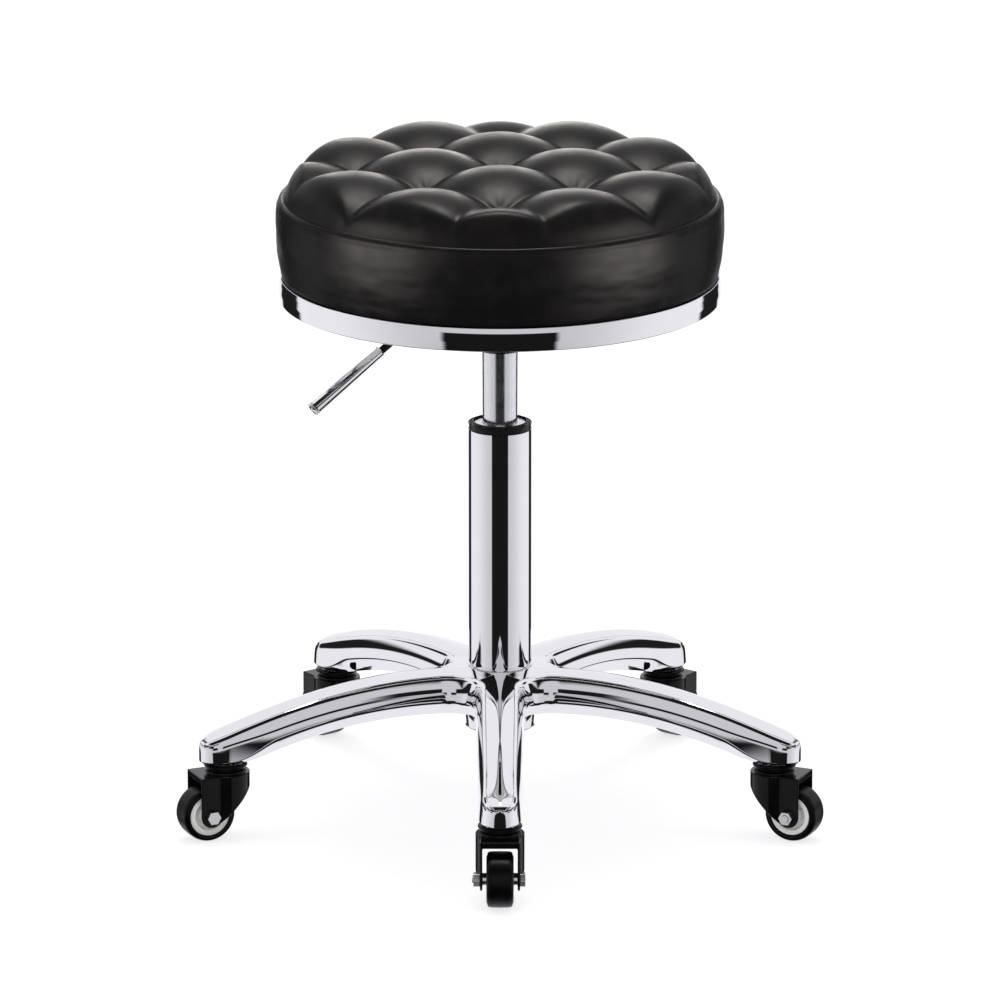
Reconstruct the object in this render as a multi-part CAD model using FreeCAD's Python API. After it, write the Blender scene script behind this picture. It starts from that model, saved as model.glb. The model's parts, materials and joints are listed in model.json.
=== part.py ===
import FreeCAD, Part
import math
import os

# A rolling stool: a tufted round seat on a gas lift, with a five-arm cast base on swivel casters.
# Millimetres. +Z is up, the origin is on the floor under the column, and -Y is the stool's front.

# Fits: radial play of a bearing, gap of a pushed-in piece, and gap between free moving pieces
RUNNING_PLAY = 0.06
SLIP_GAP = 0.05
FREE_GAP = 0.3
HEX_CORNER = 2 / math.sqrt(3)

# Caster wheel, its axle along the wheel's own axis, and the fork round it
WHEEL_RADIUS = 21.75
WHEEL_WIDTH = 21.0
TYRE_THICKNESS = 5.2
TYRE_ROUNDING = 3.0
RIM_INSET = 0.6
RIM_RING_WIDTH = 4.8
RIM_RECESS = 2.0
WHEEL_BEARING_WIDTH = 6.0
WHEEL_BEARING_WALL = 5.0
AXLE_RADIUS = 3.0
AXLE_HEX_FLATS = 10.0
AXLE_HEAD_HEIGHT = 4.0
AXLE_NUT_HEIGHT = 5.0
AXLE_END = 1.0
SPACER_WALL = 2.0
FORK_SHEET = 2.0
FORK_SIDE_GAP = 3.0
FORK_HEAD_RADIUS = 19.0
FORK_SKIRT_DROP = 10.0
FORK_LIP_DROP = 5.0
FORK_END_RADIUS = 9.0
WHEEL_HEADROOM = 8.5
CASTER_TRAIL = 17.5

# Caster swivel: race on the fork, balls, cap on the stem, toothed washer, stem in the arm
RACE_RADIUS = 16.0
RACE_HEIGHT = 1.9
SWIVEL_GAP = 0.4
SWIVEL_BALL_RADIUS = 1.5
SWIVEL_BALL_CIRCLE = 11.0
SWIVEL_BALL_COUNT = 8
CAP_RADIUS = 17.25
CAP_HEIGHT = 5.2
CAP_STEP = 0.9
CAP_GROOVE = 0.8
KING_PIN_RADIUS = 4.0
KING_PIN_HEAD_RADIUS = 6.5
KING_PIN_HEAD_HEIGHT = 2.6
STEM_RADIUS = 5.0
STEM_LENGTH = 20.0
LOCK_WASHER_RADIUS = 10.0
LOCK_WASHER_HEIGHT = 1.5
LOCK_WASHER_TEETH = 14
LOCK_WASHER_TOOTH = 1.2

# Cast base: arms, hub and the places of the casters
ARM_COUNT = 5
CASTER_CIRCLE_RADIUS = 227.0
SIDE_CASTER_TURN = 6.0
ARM_RISE = 55.5
ARM_CREST_RISE = 2.0
ARM_CREST_RADIUS = 62.0
ARM_END_THICKNESS = 27.0
ARM_ROOT_DEPTH = 34.0
ARM_UNDER_RADIUS = 50.0
ARM_PAD_REACH = 22.0
ARM_NOSE_REACH = 21.0
ARM_NOSE_LENGTH = 20.0
ARM_ROOT_HALF_WIDTH = 21.4
ARM_END_HALF_WIDTH = 16.5
ARM_FLARE = 12.0
ARM_FLARE_LENGTH = 50.0
ARM_WALL = 4.0
# shape of an arm's section, as shares of its half width and height
SECTION_FOOT_WIDTH = 0.66
SECTION_BELT_HEIGHT = 0.36
SECTION_SHOULDER_WIDTH = 0.87
SECTION_SHOULDER_HEIGHT = 0.62
SECTION_NOSE_SHARE = 0.16
HUB_HEIGHT = 48.0
HUB_WALL = 3.4
HUB_SKIRT = 9.0
HUB_SKIRT_HEIGHT = 14.0
HUB_LIP = 1.0

# Gas lift: outer column, guide and collar
COLUMN_RADIUS = 25.0
COLUMN_WALL = 2.0
COLUMN_EXPOSED = 196.0
COLUMN_TAPER = 0.8
COLUMN_FOOT_LIP = 6.0
COLUMN_FOOT_HEIGHT = 2.0
COLUMN_FOOT_SETBACK = 2.0
COLLAR_HEIGHT = 6.0
COLLAR_WALL = 5.0
COLLAR_CHAMFER = 0.9
COLLAR_SPIGOT = 4.0
SEAL_RING_HEIGHT = 1.5
SEAL_RING_SETBACK = 1.6
GUIDE_LENGTH = 74.0

# Gas lift: the bearing that carries the rod, and the piston on its top
PISTON_ROD_RADIUS = 5.0
BEARING_PLATE_HEIGHT = 4.0
THRUST_WASHER_HEIGHT = 2.0
THRUST_WASHER_RADIUS = 13.0
THRUST_BALL_RADIUS = 2.0
THRUST_BALL_CIRCLE = 9.6
THRUST_BALL_COUNT = 10
ROD_FLANGE_RADIUS = 9.0
ROD_FLANGE_HEIGHT = 2.5
ROD_TAIL = 4.0
ROD_GROOVE = 1.0
CLIP_RADIUS = 9.0
CLIP_HEIGHT = 1.4
CLIP_OPENING = 4.0
BUFFER_RADIUS = 11.0
BUFFER_HEIGHT = 7.5
PISTON_HEIGHT = 16.0
PISTON_SEAL_HEIGHT = 4.0
PISTON_SEAL_DEPTH = 1.8

# Gas lift: the sliding tube, how far it travels, and its valve
LIFT_RADIUS = 14.0
LIFT_WALL = 2.0
LIFT_EXPOSED = 58.0
LIFT_DOWN = 50.0
LIFT_UP = 70.0
LIFT_STOP_GAP = 2.0
LIFT_LIP_HEIGHT = 2.0
LIFT_LIP = 3.0
LIFT_TAPER = 0.9
LIFT_TAPER_LENGTH = 36.0
ROD_GUIDE_HEIGHT = 20.0
ROD_SEAL_HEIGHT = 6.0
VALVE_HEIGHT = 20.0
PIN_RADIUS = 4.0
PIN_DEPTH = 14.0
PIN_DOME = 1.2

# Seat mechanism under the board
SOCKET_WALL = 4.4
SOCKET_ENTRY = 1.5
PAN_SHEET = 2.5
PAN_RADIUS = 64.0
PAN_RISE = 17.0
PAN_SLOT_WIDTH = 18.0
MECHANISM_HEIGHT = 59.5
PLATE_SIDE = 170.0
PLATE_CORNER = 15.0
PLATE_HEIGHT = 2.5
BOLT_SPACING = 140.0
BOLT_RADIUS = 3.0
BOLT_HEX_FLATS = 10.0
BOLT_HEAD_HEIGHT = 4.0
TEE_NUT_RADIUS = 9.5
TEE_NUT_FLANGE = 1.2
TEE_NUT_WALL = 1.1

# Release lever, which leans down and outwards from under the plate
LEVER_HEADING = 210.0
LEVER_DROP = 8.5
LEVER_ROD_RADIUS = 3.0
LEVER_SLOPE = 32.7
LEVER_BEND_DISTANCE = 46.0
LEVER_BEND_RADIUS = 16.0
LEVER_INNER_END = 5.0
LEVER_PIVOT_DISTANCE = 25.0
LEVER_BARREL_RADIUS = 5.2
LEVER_BARREL_LENGTH = 12.0
LEVER_PIN_RADIUS = 2.0
LEVER_PIN_HEAD = 1.2
LEVER_PLAY = 0.4
BRACKET_SHEET = 2.5
BRACKET_LENGTH = 15.0
BRACKET_BELOW_PIN = 4.0
GRIP_START = 73.0
GRIP_LENGTH = 70.0
GRIP_RADIUS = 5.5
GRIP_CAP_HEIGHT = 3.0
GRIP_CAP_ROUNDING = 2.1

# Seat board, trim ring and what fastens them
BOARD_RADIUS = 165.0
BOARD_HEIGHT = 12.0
DUST_COVER_HEIGHT = 0.6
HEM_WIDTH = 18.0
RING_SHEET = 1.2
RING_NECK_RADIUS = 170.6
RING_BELLY_RADIUS = 173.0
RING_LIP_RADIUS = 167.0
RING_BELLY_DROP = 12.0
RING_HEIGHT = 19.0
RING_FLANGE_EDGE = 5.4
RING_SCREW_COUNT = 6
RING_SCREW_RADIUS = 1.8
RING_SCREW_HEAD_RADIUS = 3.6
RING_SCREW_HEAD_HEIGHT = 2.2
RING_SCREW_BITE = 8.0

# Cushion: cover, foam, tufts on a square grid laid cornerwise, and the ties that draw them in
COVER_THICKNESS = 1.5
CUSHION_FOOT_RADIUS = 170.5
CUSHION_RADIUS = 175.0
SEAM_RADIUS = 172.0
SEAM_HEIGHT = 61.5
SHOULDER_RADIUS = 161.0
SHOULDER_HEIGHT = 18.0
BROW_RADIUS = 118.0
BROW_HEIGHT = 46.0
TUFT_STEP = 57.0
TUFT_RADIUS = 88.0
TUFT_INNER_HEIGHT = 37.0
TUFT_OUTER_HEIGHT = 32.5
TUFT_EDGE_HEIGHT = 23.5
TUFT_EDGE_REACH = 152.0
TIE_RADIUS = 1.0
TIE_DISC_RADIUS = 5.0
TIE_DISC_HEIGHT = 1.0

# Levels, from the floor up
AXLE_Z = WHEEL_RADIUS
FORK_TOP_Z = 2 * WHEEL_RADIUS + WHEEL_HEADROOM + FORK_SHEET
RACE_TOP_Z = FORK_TOP_Z + RACE_HEIGHT
CAP_BOTTOM_Z = RACE_TOP_Z + SWIVEL_GAP
CAP_TOP_Z = CAP_BOTTOM_Z + CAP_HEIGHT
PAD_Z = CAP_TOP_Z + LOCK_WASHER_HEIGHT
HUB_TOP_Z = PAD_Z + ARM_RISE
HUB_BOTTOM_Z = HUB_TOP_Z - HUB_HEIGHT
CREST_Z = HUB_TOP_Z + ARM_CREST_RISE
ARM_UNDER_Z = CREST_Z - ARM_ROOT_DEPTH
COLUMN_BOTTOM_Z = HUB_BOTTOM_Z + COLUMN_FOOT_SETBACK
BEARING_PLATE_Z = COLUMN_BOTTOM_Z + COLUMN_FOOT_HEIGHT
LOWER_WASHER_Z = BEARING_PLATE_Z + BEARING_PLATE_HEIGHT
THRUST_BALL_Z = LOWER_WASHER_Z + THRUST_WASHER_HEIGHT + THRUST_BALL_RADIUS
UPPER_WASHER_Z = THRUST_BALL_Z + THRUST_BALL_RADIUS
ROD_FLANGE_Z = UPPER_WASHER_Z + THRUST_WASHER_HEIGHT
BUFFER_Z = ROD_FLANGE_Z + ROD_FLANGE_HEIGHT
BUFFER_TOP_Z = BUFFER_Z + BUFFER_HEIGHT
COLUMN_TOP_Z = HUB_TOP_Z + COLUMN_EXPOSED
COLLAR_TOP_Z = COLUMN_TOP_Z + COLLAR_HEIGHT
SEAL_RING_TOP_Z = COLLAR_TOP_Z - SEAL_RING_SETBACK
LIFT_BOTTOM_Z = BUFFER_TOP_Z + LIFT_DOWN + LIFT_STOP_GAP
ROD_GUIDE_Z = LIFT_BOTTOM_Z + LIFT_LIP_HEIGHT
ROD_SEAL_Z = ROD_GUIDE_Z + ROD_GUIDE_HEIGHT
PISTON_Z = ROD_SEAL_Z + ROD_SEAL_HEIGHT + LIFT_UP + LIFT_STOP_GAP
SOCKET_BOTTOM_Z = COLLAR_TOP_Z + LIFT_EXPOSED
LIFT_TAPER_Z = SOCKET_BOTTOM_Z + SOCKET_ENTRY
LIFT_TOP_Z = LIFT_TAPER_Z + LIFT_TAPER_LENGTH
VALVE_TOP_Z = LIFT_TOP_Z - LIFT_LIP_HEIGHT
PLATE_Z = SOCKET_BOTTOM_Z + MECHANISM_HEIGHT
LEVER_Z = PLATE_Z - LEVER_DROP
BOARD_Z = PLATE_Z + PLATE_HEIGHT
BOARD_TOP_Z = BOARD_Z + BOARD_HEIGHT
CUSHION_Z = BOARD_Z - COVER_THICKNESS
SEAM_Z = CUSHION_Z + SEAM_HEIGHT
RING_TOP_Z = CUSHION_Z

# Radii that follow from a wall or a fit
RIM_RADIUS = WHEEL_RADIUS - TYRE_THICKNESS
WHEEL_BEARING_RADIUS = AXLE_RADIUS + RUNNING_PLAY + WHEEL_BEARING_WALL
LEG_INNER = WHEEL_WIDTH / 2 + FORK_SIDE_GAP
LEG_OUTER = LEG_INNER + FORK_SHEET
FORK_END_X = CASTER_TRAIL + FORK_END_RADIUS
BORE_TOP_RADIUS = COLUMN_RADIUS + SLIP_GAP
BORE_BOTTOM_RADIUS = BORE_TOP_RADIUS - COLUMN_TAPER
COLUMN_BORE = COLUMN_RADIUS - COLUMN_TAPER - COLUMN_WALL
LIFT_BORE = LIFT_RADIUS - LIFT_WALL
HEM_RADIUS = BOARD_RADIUS - HEM_WIDTH
RING_SCREW_CIRCLE = BOARD_RADIUS - HEM_WIDTH / 2
GRIP_BORE = LEVER_ROD_RADIUS + SLIP_GAP


def vec(x, y, z):
    return FreeCAD.Vector(x, y, z)


def spun(shape, degrees):
    """A copy turned about the vertical axis through the origin."""
    copy = shape.copy()
    copy.rotate(vec(0, 0, 0), vec(0, 0, 1), degrees)
    return copy


def shifted(shape, x, y, z=0.0):
    copy = shape.copy()
    copy.translate(vec(x, y, z))
    return copy


def round_about(shape, count, radius, start=0.0):
    """Copies on a circle, each turned to face outwards."""
    step = 360.0 / count
    return [spun(shifted(shape, radius, 0), start + step * k) for k in range(count)]


def outline(start, *steps):
    """A closed wire of (radius, height) points; a step of two points is an arc through the first."""
    edges = []
    here = vec(start[0], 0, start[1])
    for step in (*steps, start):
        curved = isinstance(step[0], tuple)
        end = step[1] if curved else step
        there = vec(end[0], 0, end[1])
        if curved:
            edges.append(Part.Arc(here, vec(step[0][0], 0, step[0][1]), there).toShape())
        elif there.distanceToPoint(here) > 1e-6:
            edges.append(Part.LineSegment(here, there).toShape())
        here = there
    return Part.Wire(edges)


def turned(start, *steps):
    """A solid of revolution about the vertical axis."""
    return Part.Face(outline(start, *steps)).revolve(vec(0, 0, 0), vec(0, 0, 1), 360)


def rod(radius, bottom, top):
    return Part.makeCylinder(radius, top - bottom, vec(0, 0, bottom))


def tube(inner, outer, bottom, top):
    return rod(outer, bottom, top).cut(rod(inner, bottom, top))


def cone(bottom_radius, top_radius, bottom, top):
    return Part.makeCone(bottom_radius, top_radius, top - bottom, vec(0, 0, bottom))


def hexagon(flats, bottom, top):
    corner = flats / 2 * HEX_CORNER
    turns = [k * math.pi / 3 for k in range(7)]
    points = [vec(corner * math.cos(turn), corner * math.sin(turn), bottom) for turn in turns]
    return Part.Face(Part.makePolygon(points)).extrude(vec(0, 0, top - bottom))


def export(name, *solids):
    shape = solids[0] if len(solids) == 1 else Part.makeCompound(list(solids))
    shape.exportStep("parts/" + name + ".step")


# Casters, each made with its swivel axis at the origin and its wheel trailing along +X


def arm_angle(index):
    return -90.0 + 360.0 / ARM_COUNT * index


def caster_turn(index):
    """The two side casters stand a little turned towards the front, as if just rolled there."""
    return {1: -SIDE_CASTER_TURN, ARM_COUNT - 1: SIDE_CASTER_TURN}.get(index, 0.0)


def placed_caster(shape, index):
    angle = math.radians(arm_angle(index))
    turned_shape = spun(shape, arm_angle(index) + caster_turn(index))
    place = vec(math.cos(angle), math.sin(angle), 0) * CASTER_CIRCLE_RADIUS
    return shifted(turned_shape, place.x, place.y)


def on_axle(shape):
    """Lays a shape that was made about the vertical axis along the wheel's axle."""
    copy = shape.copy()
    copy.rotate(vec(0, 0, 0), vec(1, 0, 0), -90)
    return shifted(copy, CASTER_TRAIL, 0, AXLE_Z)


def tyre():
    half = WHEEL_WIDTH / 2
    flat = half - TYRE_ROUNDING
    corner = TYRE_ROUNDING * (1 - math.sqrt(0.5))
    side = WHEEL_RADIUS - TYRE_ROUNDING
    return on_axle(turned(
        (RIM_RADIUS, -half), (side, -half),
        ((WHEEL_RADIUS - corner, -half + corner), (WHEEL_RADIUS, -flat)), (WHEEL_RADIUS, flat),
        ((WHEEL_RADIUS - corner, half - corner), (side, half)), (RIM_RADIUS, half)))


def wheel_rim():
    """The bright rim ring with its recessed web, and the two plain bearings in its bore."""
    half = WHEEL_WIDTH / 2 - RIM_INSET
    web = half - RIM_RECESS
    ring_inner = RIM_RADIUS - RIM_RING_WIDTH
    bore = WHEEL_BEARING_RADIUS + SLIP_GAP
    outer = RIM_RADIUS - SLIP_GAP
    rim = turned((bore, -web), (ring_inner, -web), (ring_inner, -half), (outer, -half),
                 (outer, half), (ring_inner, half), (ring_inner, web), (bore, web))
    bearing = tube(AXLE_RADIUS + RUNNING_PLAY, WHEEL_BEARING_RADIUS, web - WHEEL_BEARING_WIDTH, web)
    far_bearing = tube(AXLE_RADIUS + RUNNING_PLAY, WHEEL_BEARING_RADIUS, -web, WHEEL_BEARING_WIDTH - web)
    return [on_axle(solid) for solid in (rim, bearing, far_bearing)]


def axle_set():
    """Bolt, nut and the two spacers that keep the wheel in the middle of the fork."""
    web = WHEEL_WIDTH / 2 - RIM_INSET - RIM_RECESS
    nut_end = -LEG_OUTER - AXLE_NUT_HEIGHT
    bolt = rod(AXLE_RADIUS, nut_end - AXLE_END, LEG_OUTER)
    bolt = bolt.fuse(hexagon(AXLE_HEX_FLATS, LEG_OUTER, LEG_OUTER + AXLE_HEAD_HEIGHT))
    hole = AXLE_RADIUS + SLIP_GAP
    nut = hexagon(AXLE_HEX_FLATS, nut_end, -LEG_OUTER).cut(rod(hole, nut_end, -LEG_OUTER))
    spacer = tube(hole, hole + SPACER_WALL, web + FREE_GAP, LEG_INNER)
    far_spacer = tube(hole, hole + SPACER_WALL, -LEG_INNER, -web - FREE_GAP)
    return [on_axle(solid) for solid in (bolt, nut, spacer, far_spacer)]


def fork_plan(head, half_width, end, bottom, top):
    """The fork seen from above: a round head with straight sides running out to the trailing end."""
    sides = Part.makeBox(end, 2 * half_width, top - bottom, vec(0, -half_width, bottom))
    return rod(head, bottom, top).fuse(sides).removeSplitter()


def fork_side():
    """The fork seen from the side: a skirt cut slantwise to the rounded end about the axle."""
    skirt_z = FORK_TOP_Z - FORK_SKIRT_DROP
    reach = math.hypot(CASTER_TRAIL + FORK_HEAD_RADIUS, skirt_z - AXLE_Z)
    lean = math.atan2(skirt_z - AXLE_Z, -CASTER_TRAIL - FORK_HEAD_RADIUS)
    touch = lean + math.acos(FORK_END_RADIUS / reach)
    low = (lean + math.acos(FORK_END_RADIUS / reach) + 2 * math.pi) / 2

    def on_end(angle):
        return (CASTER_TRAIL + FORK_END_RADIUS * math.cos(angle), AXLE_Z + FORK_END_RADIUS * math.sin(angle))

    wire = outline((-FORK_HEAD_RADIUS, FORK_TOP_Z), (FORK_END_X, FORK_TOP_Z), (FORK_END_X, AXLE_Z),
                   (on_end(low), on_end(touch)), (-FORK_HEAD_RADIUS, skirt_z))
    side = Part.Face(wire).extrude(vec(0, 2 * FORK_HEAD_RADIUS, 0))
    return shifted(side, 0, -FORK_HEAD_RADIUS)


def swivel_groove():
    return Part.makeTorus(SWIVEL_BALL_CIRCLE, SWIVEL_BALL_RADIUS + SLIP_GAP,
                          vec(0, 0, RACE_TOP_Z + SWIVEL_GAP / 2))


def fork():
    outer = fork_plan(FORK_HEAD_RADIUS, LEG_OUTER, FORK_END_X, 0, FORK_TOP_Z)
    ceiling = FORK_TOP_Z - FORK_SHEET
    hollow = fork_plan(FORK_HEAD_RADIUS - FORK_SHEET, LEG_INNER, FORK_END_X - FORK_SHEET, 0, ceiling)
    mouth = Part.makeBox(FORK_END_X, 2 * LEG_INNER, FORK_TOP_Z - FORK_LIP_DROP, vec(0, -LEG_INNER, 0))
    body = outer.common(fork_side()).cut(hollow).cut(mouth)
    race = rod(RACE_RADIUS, FORK_TOP_Z, RACE_TOP_Z)
    body = body.fuse(race).removeSplitter()
    axle_hole = on_axle(rod(AXLE_RADIUS + SLIP_GAP, -2 * LEG_OUTER, 2 * LEG_OUTER))
    king_hole = rod(KING_PIN_RADIUS + RUNNING_PLAY, 0, CAP_TOP_Z)
    return body.cut(axle_hole).cut(king_hole).cut(swivel_groove())


def swivel_balls():
    ball = Part.makeSphere(SWIVEL_BALL_RADIUS, vec(0, 0, RACE_TOP_Z + SWIVEL_GAP / 2))
    return round_about(ball, SWIVEL_BALL_COUNT, SWIVEL_BALL_CIRCLE)


def caster_cap():
    groove_z = (CAP_BOTTOM_Z + CAP_TOP_Z) / 2
    upper = CAP_RADIUS - CAP_STEP
    cap = turned((KING_PIN_RADIUS + SLIP_GAP, CAP_BOTTOM_Z), (CAP_RADIUS - CAP_GROOVE, CAP_BOTTOM_Z),
                 (CAP_RADIUS, CAP_BOTTOM_Z + CAP_GROOVE), (CAP_RADIUS, groove_z - CAP_GROOVE),
                 (upper - CAP_STEP, groove_z - CAP_GROOVE), (upper - CAP_STEP, groove_z),
                 (upper, groove_z), (upper, CAP_TOP_Z - CAP_STEP), (upper - CAP_STEP, CAP_TOP_Z),
                 (KING_PIN_RADIUS + SLIP_GAP, CAP_TOP_Z))
    return cap.cut(swivel_groove())


def caster_stem():
    head_top = FORK_TOP_Z - FORK_SHEET - FREE_GAP
    head = rod(KING_PIN_HEAD_RADIUS, head_top - KING_PIN_HEAD_HEIGHT, head_top)
    stem = rod(STEM_RADIUS, CAP_TOP_Z, PAD_Z + STEM_LENGTH)
    return head.fuse(rod(KING_PIN_RADIUS, head_top, CAP_TOP_Z)).fuse(stem)


def lock_washer():
    washer = tube(STEM_RADIUS + SLIP_GAP, LOCK_WASHER_RADIUS, CAP_TOP_Z, PAD_Z)
    notch = Part.makeBox(2 * LOCK_WASHER_TOOTH, LOCK_WASHER_TOOTH, LOCK_WASHER_HEIGHT,
                         vec(-LOCK_WASHER_TOOTH, -LOCK_WASHER_TOOTH / 2, CAP_TOP_Z))
    for cut in round_about(notch, LOCK_WASHER_TEETH, LOCK_WASHER_RADIUS):
        washer = washer.cut(cut)
    return washer


# Cast base, each arm made along +X


def arm_top(r):
    share = (r - ARM_CREST_RADIUS) / (CASTER_CIRCLE_RADIUS - ARM_CREST_RADIUS)
    drop = CREST_Z - PAD_Z - ARM_END_THICKNESS
    return CREST_Z - drop * share * share


def arm_under(r):
    share = (r - ARM_UNDER_RADIUS) / (CASTER_CIRCLE_RADIUS - ARM_PAD_REACH - ARM_UNDER_RADIUS)
    return max(PAD_Z, ARM_UNDER_Z - (ARM_UNDER_Z - PAD_Z) * share * share)


def arm_nose(r):
    """How full the arm's end still is: 1 up to the nose, then down round it."""
    start = CASTER_CIRCLE_RADIUS + ARM_NOSE_REACH - ARM_NOSE_LENGTH
    share = min(max((r - start) / ARM_NOSE_LENGTH, 0.0), 1.0)
    return SECTION_NOSE_SHARE + (1 - SECTION_NOSE_SHARE) * math.sqrt(1 - share * share)


def arm_half_width(r):
    along = r / CASTER_CIRCLE_RADIUS
    width = ARM_ROOT_HALF_WIDTH + (ARM_END_HALF_WIDTH - ARM_ROOT_HALF_WIDTH) * along
    flare = max(0.0, 1 - (r - COLUMN_RADIUS) / ARM_FLARE_LENGTH)
    return (width + ARM_FLARE * flare * flare) * arm_nose(r)


def arm_section(r):
    width = arm_half_width(r)
    foot = arm_under(r)
    height = (arm_top(r) - foot) * arm_nose(r)
    belt_z = foot + SECTION_BELT_HEIGHT * height
    shoulder_z = foot + SECTION_SHOULDER_HEIGHT * height
    left = [vec(r, -SECTION_FOOT_WIDTH * width, foot), vec(r, -width, belt_z),
            vec(r, -SECTION_SHOULDER_WIDTH * width, shoulder_z)]
    right = [vec(p.x, -p.y, p.z) for p in reversed(left)]
    dome = Part.Arc(left[-1], vec(r, 0, foot + height), right[0]).toShape()
    sides = [Part.LineSegment(a, b).toShape() for a, b in zip(left, left[1:])]
    far_sides = [Part.LineSegment(a, b).toShape() for a, b in zip(right, right[1:])]
    return Part.Wire([*sides, dome, *far_sides, Part.LineSegment(right[-1], left[0]).toShape()])


def arm_hollow_section(r):
    width = arm_half_width(r)
    foot = arm_under(r)
    low = SECTION_FOOT_WIDTH * width - ARM_WALL
    high = SECTION_SHOULDER_WIDTH * width - 2 * ARM_WALL
    ceiling = arm_top(r) - 2 * ARM_WALL
    left = [vec(r, -low, foot - ARM_WALL), vec(r, -low, foot), vec(r, -high, ceiling)]
    points = [*left, *[vec(p.x, -p.y, p.z) for p in reversed(left)]]
    return Part.makePolygon([*points, points[0]])


def arm():
    tip = CASTER_CIRCLE_RADIUS + ARM_NOSE_REACH
    nose = tip - ARM_NOSE_LENGTH
    root = COLUMN_RADIUS / 2
    stations = [root, *[COLUMN_RADIUS + ARM_FLARE_LENGTH * share for share in (0.0, 0.35, 0.7, 1.0)]]
    plain = nose - stations[-1]
    stations += [stations[-1] + plain * share for share in (0.25, 0.5, 0.75, 0.9)]
    stations += [nose + ARM_NOSE_LENGTH * share for share in (0.0, 0.4, 0.7, 0.88, 0.97, 1.0)]
    solid = Part.makeLoft([arm_section(r) for r in stations], True, False)
    hollow_start = COLUMN_RADIUS + ARM_FLARE_LENGTH * 0.7
    hollow_end = CASTER_CIRCLE_RADIUS - STEM_RADIUS - 2 * ARM_WALL
    span = hollow_end - hollow_start
    hollow = Part.makeLoft([arm_hollow_section(hollow_start + span * k / 4) for k in range(5)], True, False)
    below_pad = Part.makeBox(tip, 4 * ARM_END_HALF_WIDTH, PAD_Z, vec(0, -2 * ARM_END_HALF_WIDTH, 0))
    stem_hole = shifted(rod(STEM_RADIUS + SLIP_GAP, 0, PAD_Z + STEM_LENGTH), CASTER_CIRCLE_RADIUS, 0)
    return solid.cut(below_pad).cut(hollow).cut(stem_hole)


def base_casting():
    wall = BORE_TOP_RADIUS + HUB_WALL
    skirt_z = HUB_TOP_Z - HUB_SKIRT_HEIGHT
    bend = (BORE_TOP_RADIUS + HUB_LIP + HUB_SKIRT * 0.2, HUB_TOP_Z - HUB_SKIRT_HEIGHT * 0.55)
    hub = turned((0, HUB_BOTTOM_Z), (wall, HUB_BOTTOM_Z), (wall, ARM_UNDER_Z),
                 (BORE_TOP_RADIUS + HUB_SKIRT, skirt_z), (bend, (BORE_TOP_RADIUS + HUB_LIP, HUB_TOP_Z)),
                 (0, HUB_TOP_Z))
    body = hub
    for index in range(ARM_COUNT):
        body = body.fuse(spun(arm(), arm_angle(index)))
    above_hub = rod(BORE_TOP_RADIUS, HUB_TOP_Z, CREST_Z + ARM_CREST_RISE)
    bore = cone(BORE_BOTTOM_RADIUS, BORE_TOP_RADIUS, HUB_BOTTOM_Z, HUB_TOP_Z)
    return body.cut(bore).cut(above_hub).removeSplitter()


# Gas lift


def column_tube():
    foot_radius = BORE_BOTTOM_RADIUS - SLIP_GAP + COLUMN_TAPER * COLUMN_FOOT_SETBACK / HUB_HEIGHT
    lip = COLUMN_BORE - COLUMN_FOOT_LIP
    return turned((lip, COLUMN_BOTTOM_Z), (foot_radius, COLUMN_BOTTOM_Z), (COLUMN_RADIUS, HUB_TOP_Z),
                  (COLUMN_RADIUS, COLUMN_TOP_Z), (COLUMN_BORE, COLUMN_TOP_Z), (COLUMN_BORE, BEARING_PLATE_Z),
                  (lip, BEARING_PLATE_Z))


def column_collar():
    """The black rim round the column's top, with a spigot that sits inside the tube."""
    inner = COLUMN_RADIUS - COLLAR_WALL
    spigot = COLUMN_BORE - SLIP_GAP
    spigot_z = COLUMN_TOP_Z - COLLAR_SPIGOT
    return turned((inner, spigot_z), (spigot, spigot_z), (spigot, COLUMN_TOP_Z),
                  (COLUMN_RADIUS, COLUMN_TOP_Z), (COLUMN_RADIUS, COLLAR_TOP_Z - COLLAR_CHAMFER),
                  (COLUMN_RADIUS - COLLAR_CHAMFER, COLLAR_TOP_Z), (inner, COLLAR_TOP_Z))


def column_seal_ring():
    return tube(LIFT_RADIUS + RUNNING_PLAY, COLUMN_RADIUS - COLLAR_WALL - SLIP_GAP,
                SEAL_RING_TOP_Z - SEAL_RING_HEIGHT, SEAL_RING_TOP_Z)


def guide_bush():
    """The long plastic sleeve that the lift tube slides in, with a spigot up inside the collar."""
    top = COLUMN_TOP_Z - COLLAR_SPIGOT
    bore = LIFT_RADIUS + RUNNING_PLAY
    sleeve = tube(bore, COLUMN_BORE - SLIP_GAP, top - GUIDE_LENGTH, top)
    neck = tube(bore, COLUMN_RADIUS - COLLAR_WALL - SLIP_GAP, top, SEAL_RING_TOP_Z - SEAL_RING_HEIGHT)
    return sleeve.fuse(neck).removeSplitter()


def bearing_plate():
    return tube(PISTON_ROD_RADIUS + FREE_GAP, COLUMN_BORE - SLIP_GAP, BEARING_PLATE_Z, LOWER_WASHER_Z)


def thrust_washer(bottom):
    return tube(PISTON_ROD_RADIUS + SLIP_GAP, THRUST_WASHER_RADIUS, bottom, bottom + THRUST_WASHER_HEIGHT)


def thrust_balls():
    ball = Part.makeSphere(THRUST_BALL_RADIUS - SLIP_GAP, vec(0, 0, THRUST_BALL_Z))
    return round_about(ball, THRUST_BALL_COUNT, THRUST_BALL_CIRCLE)


def clip_top():
    return BEARING_PLATE_Z - FREE_GAP


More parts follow.
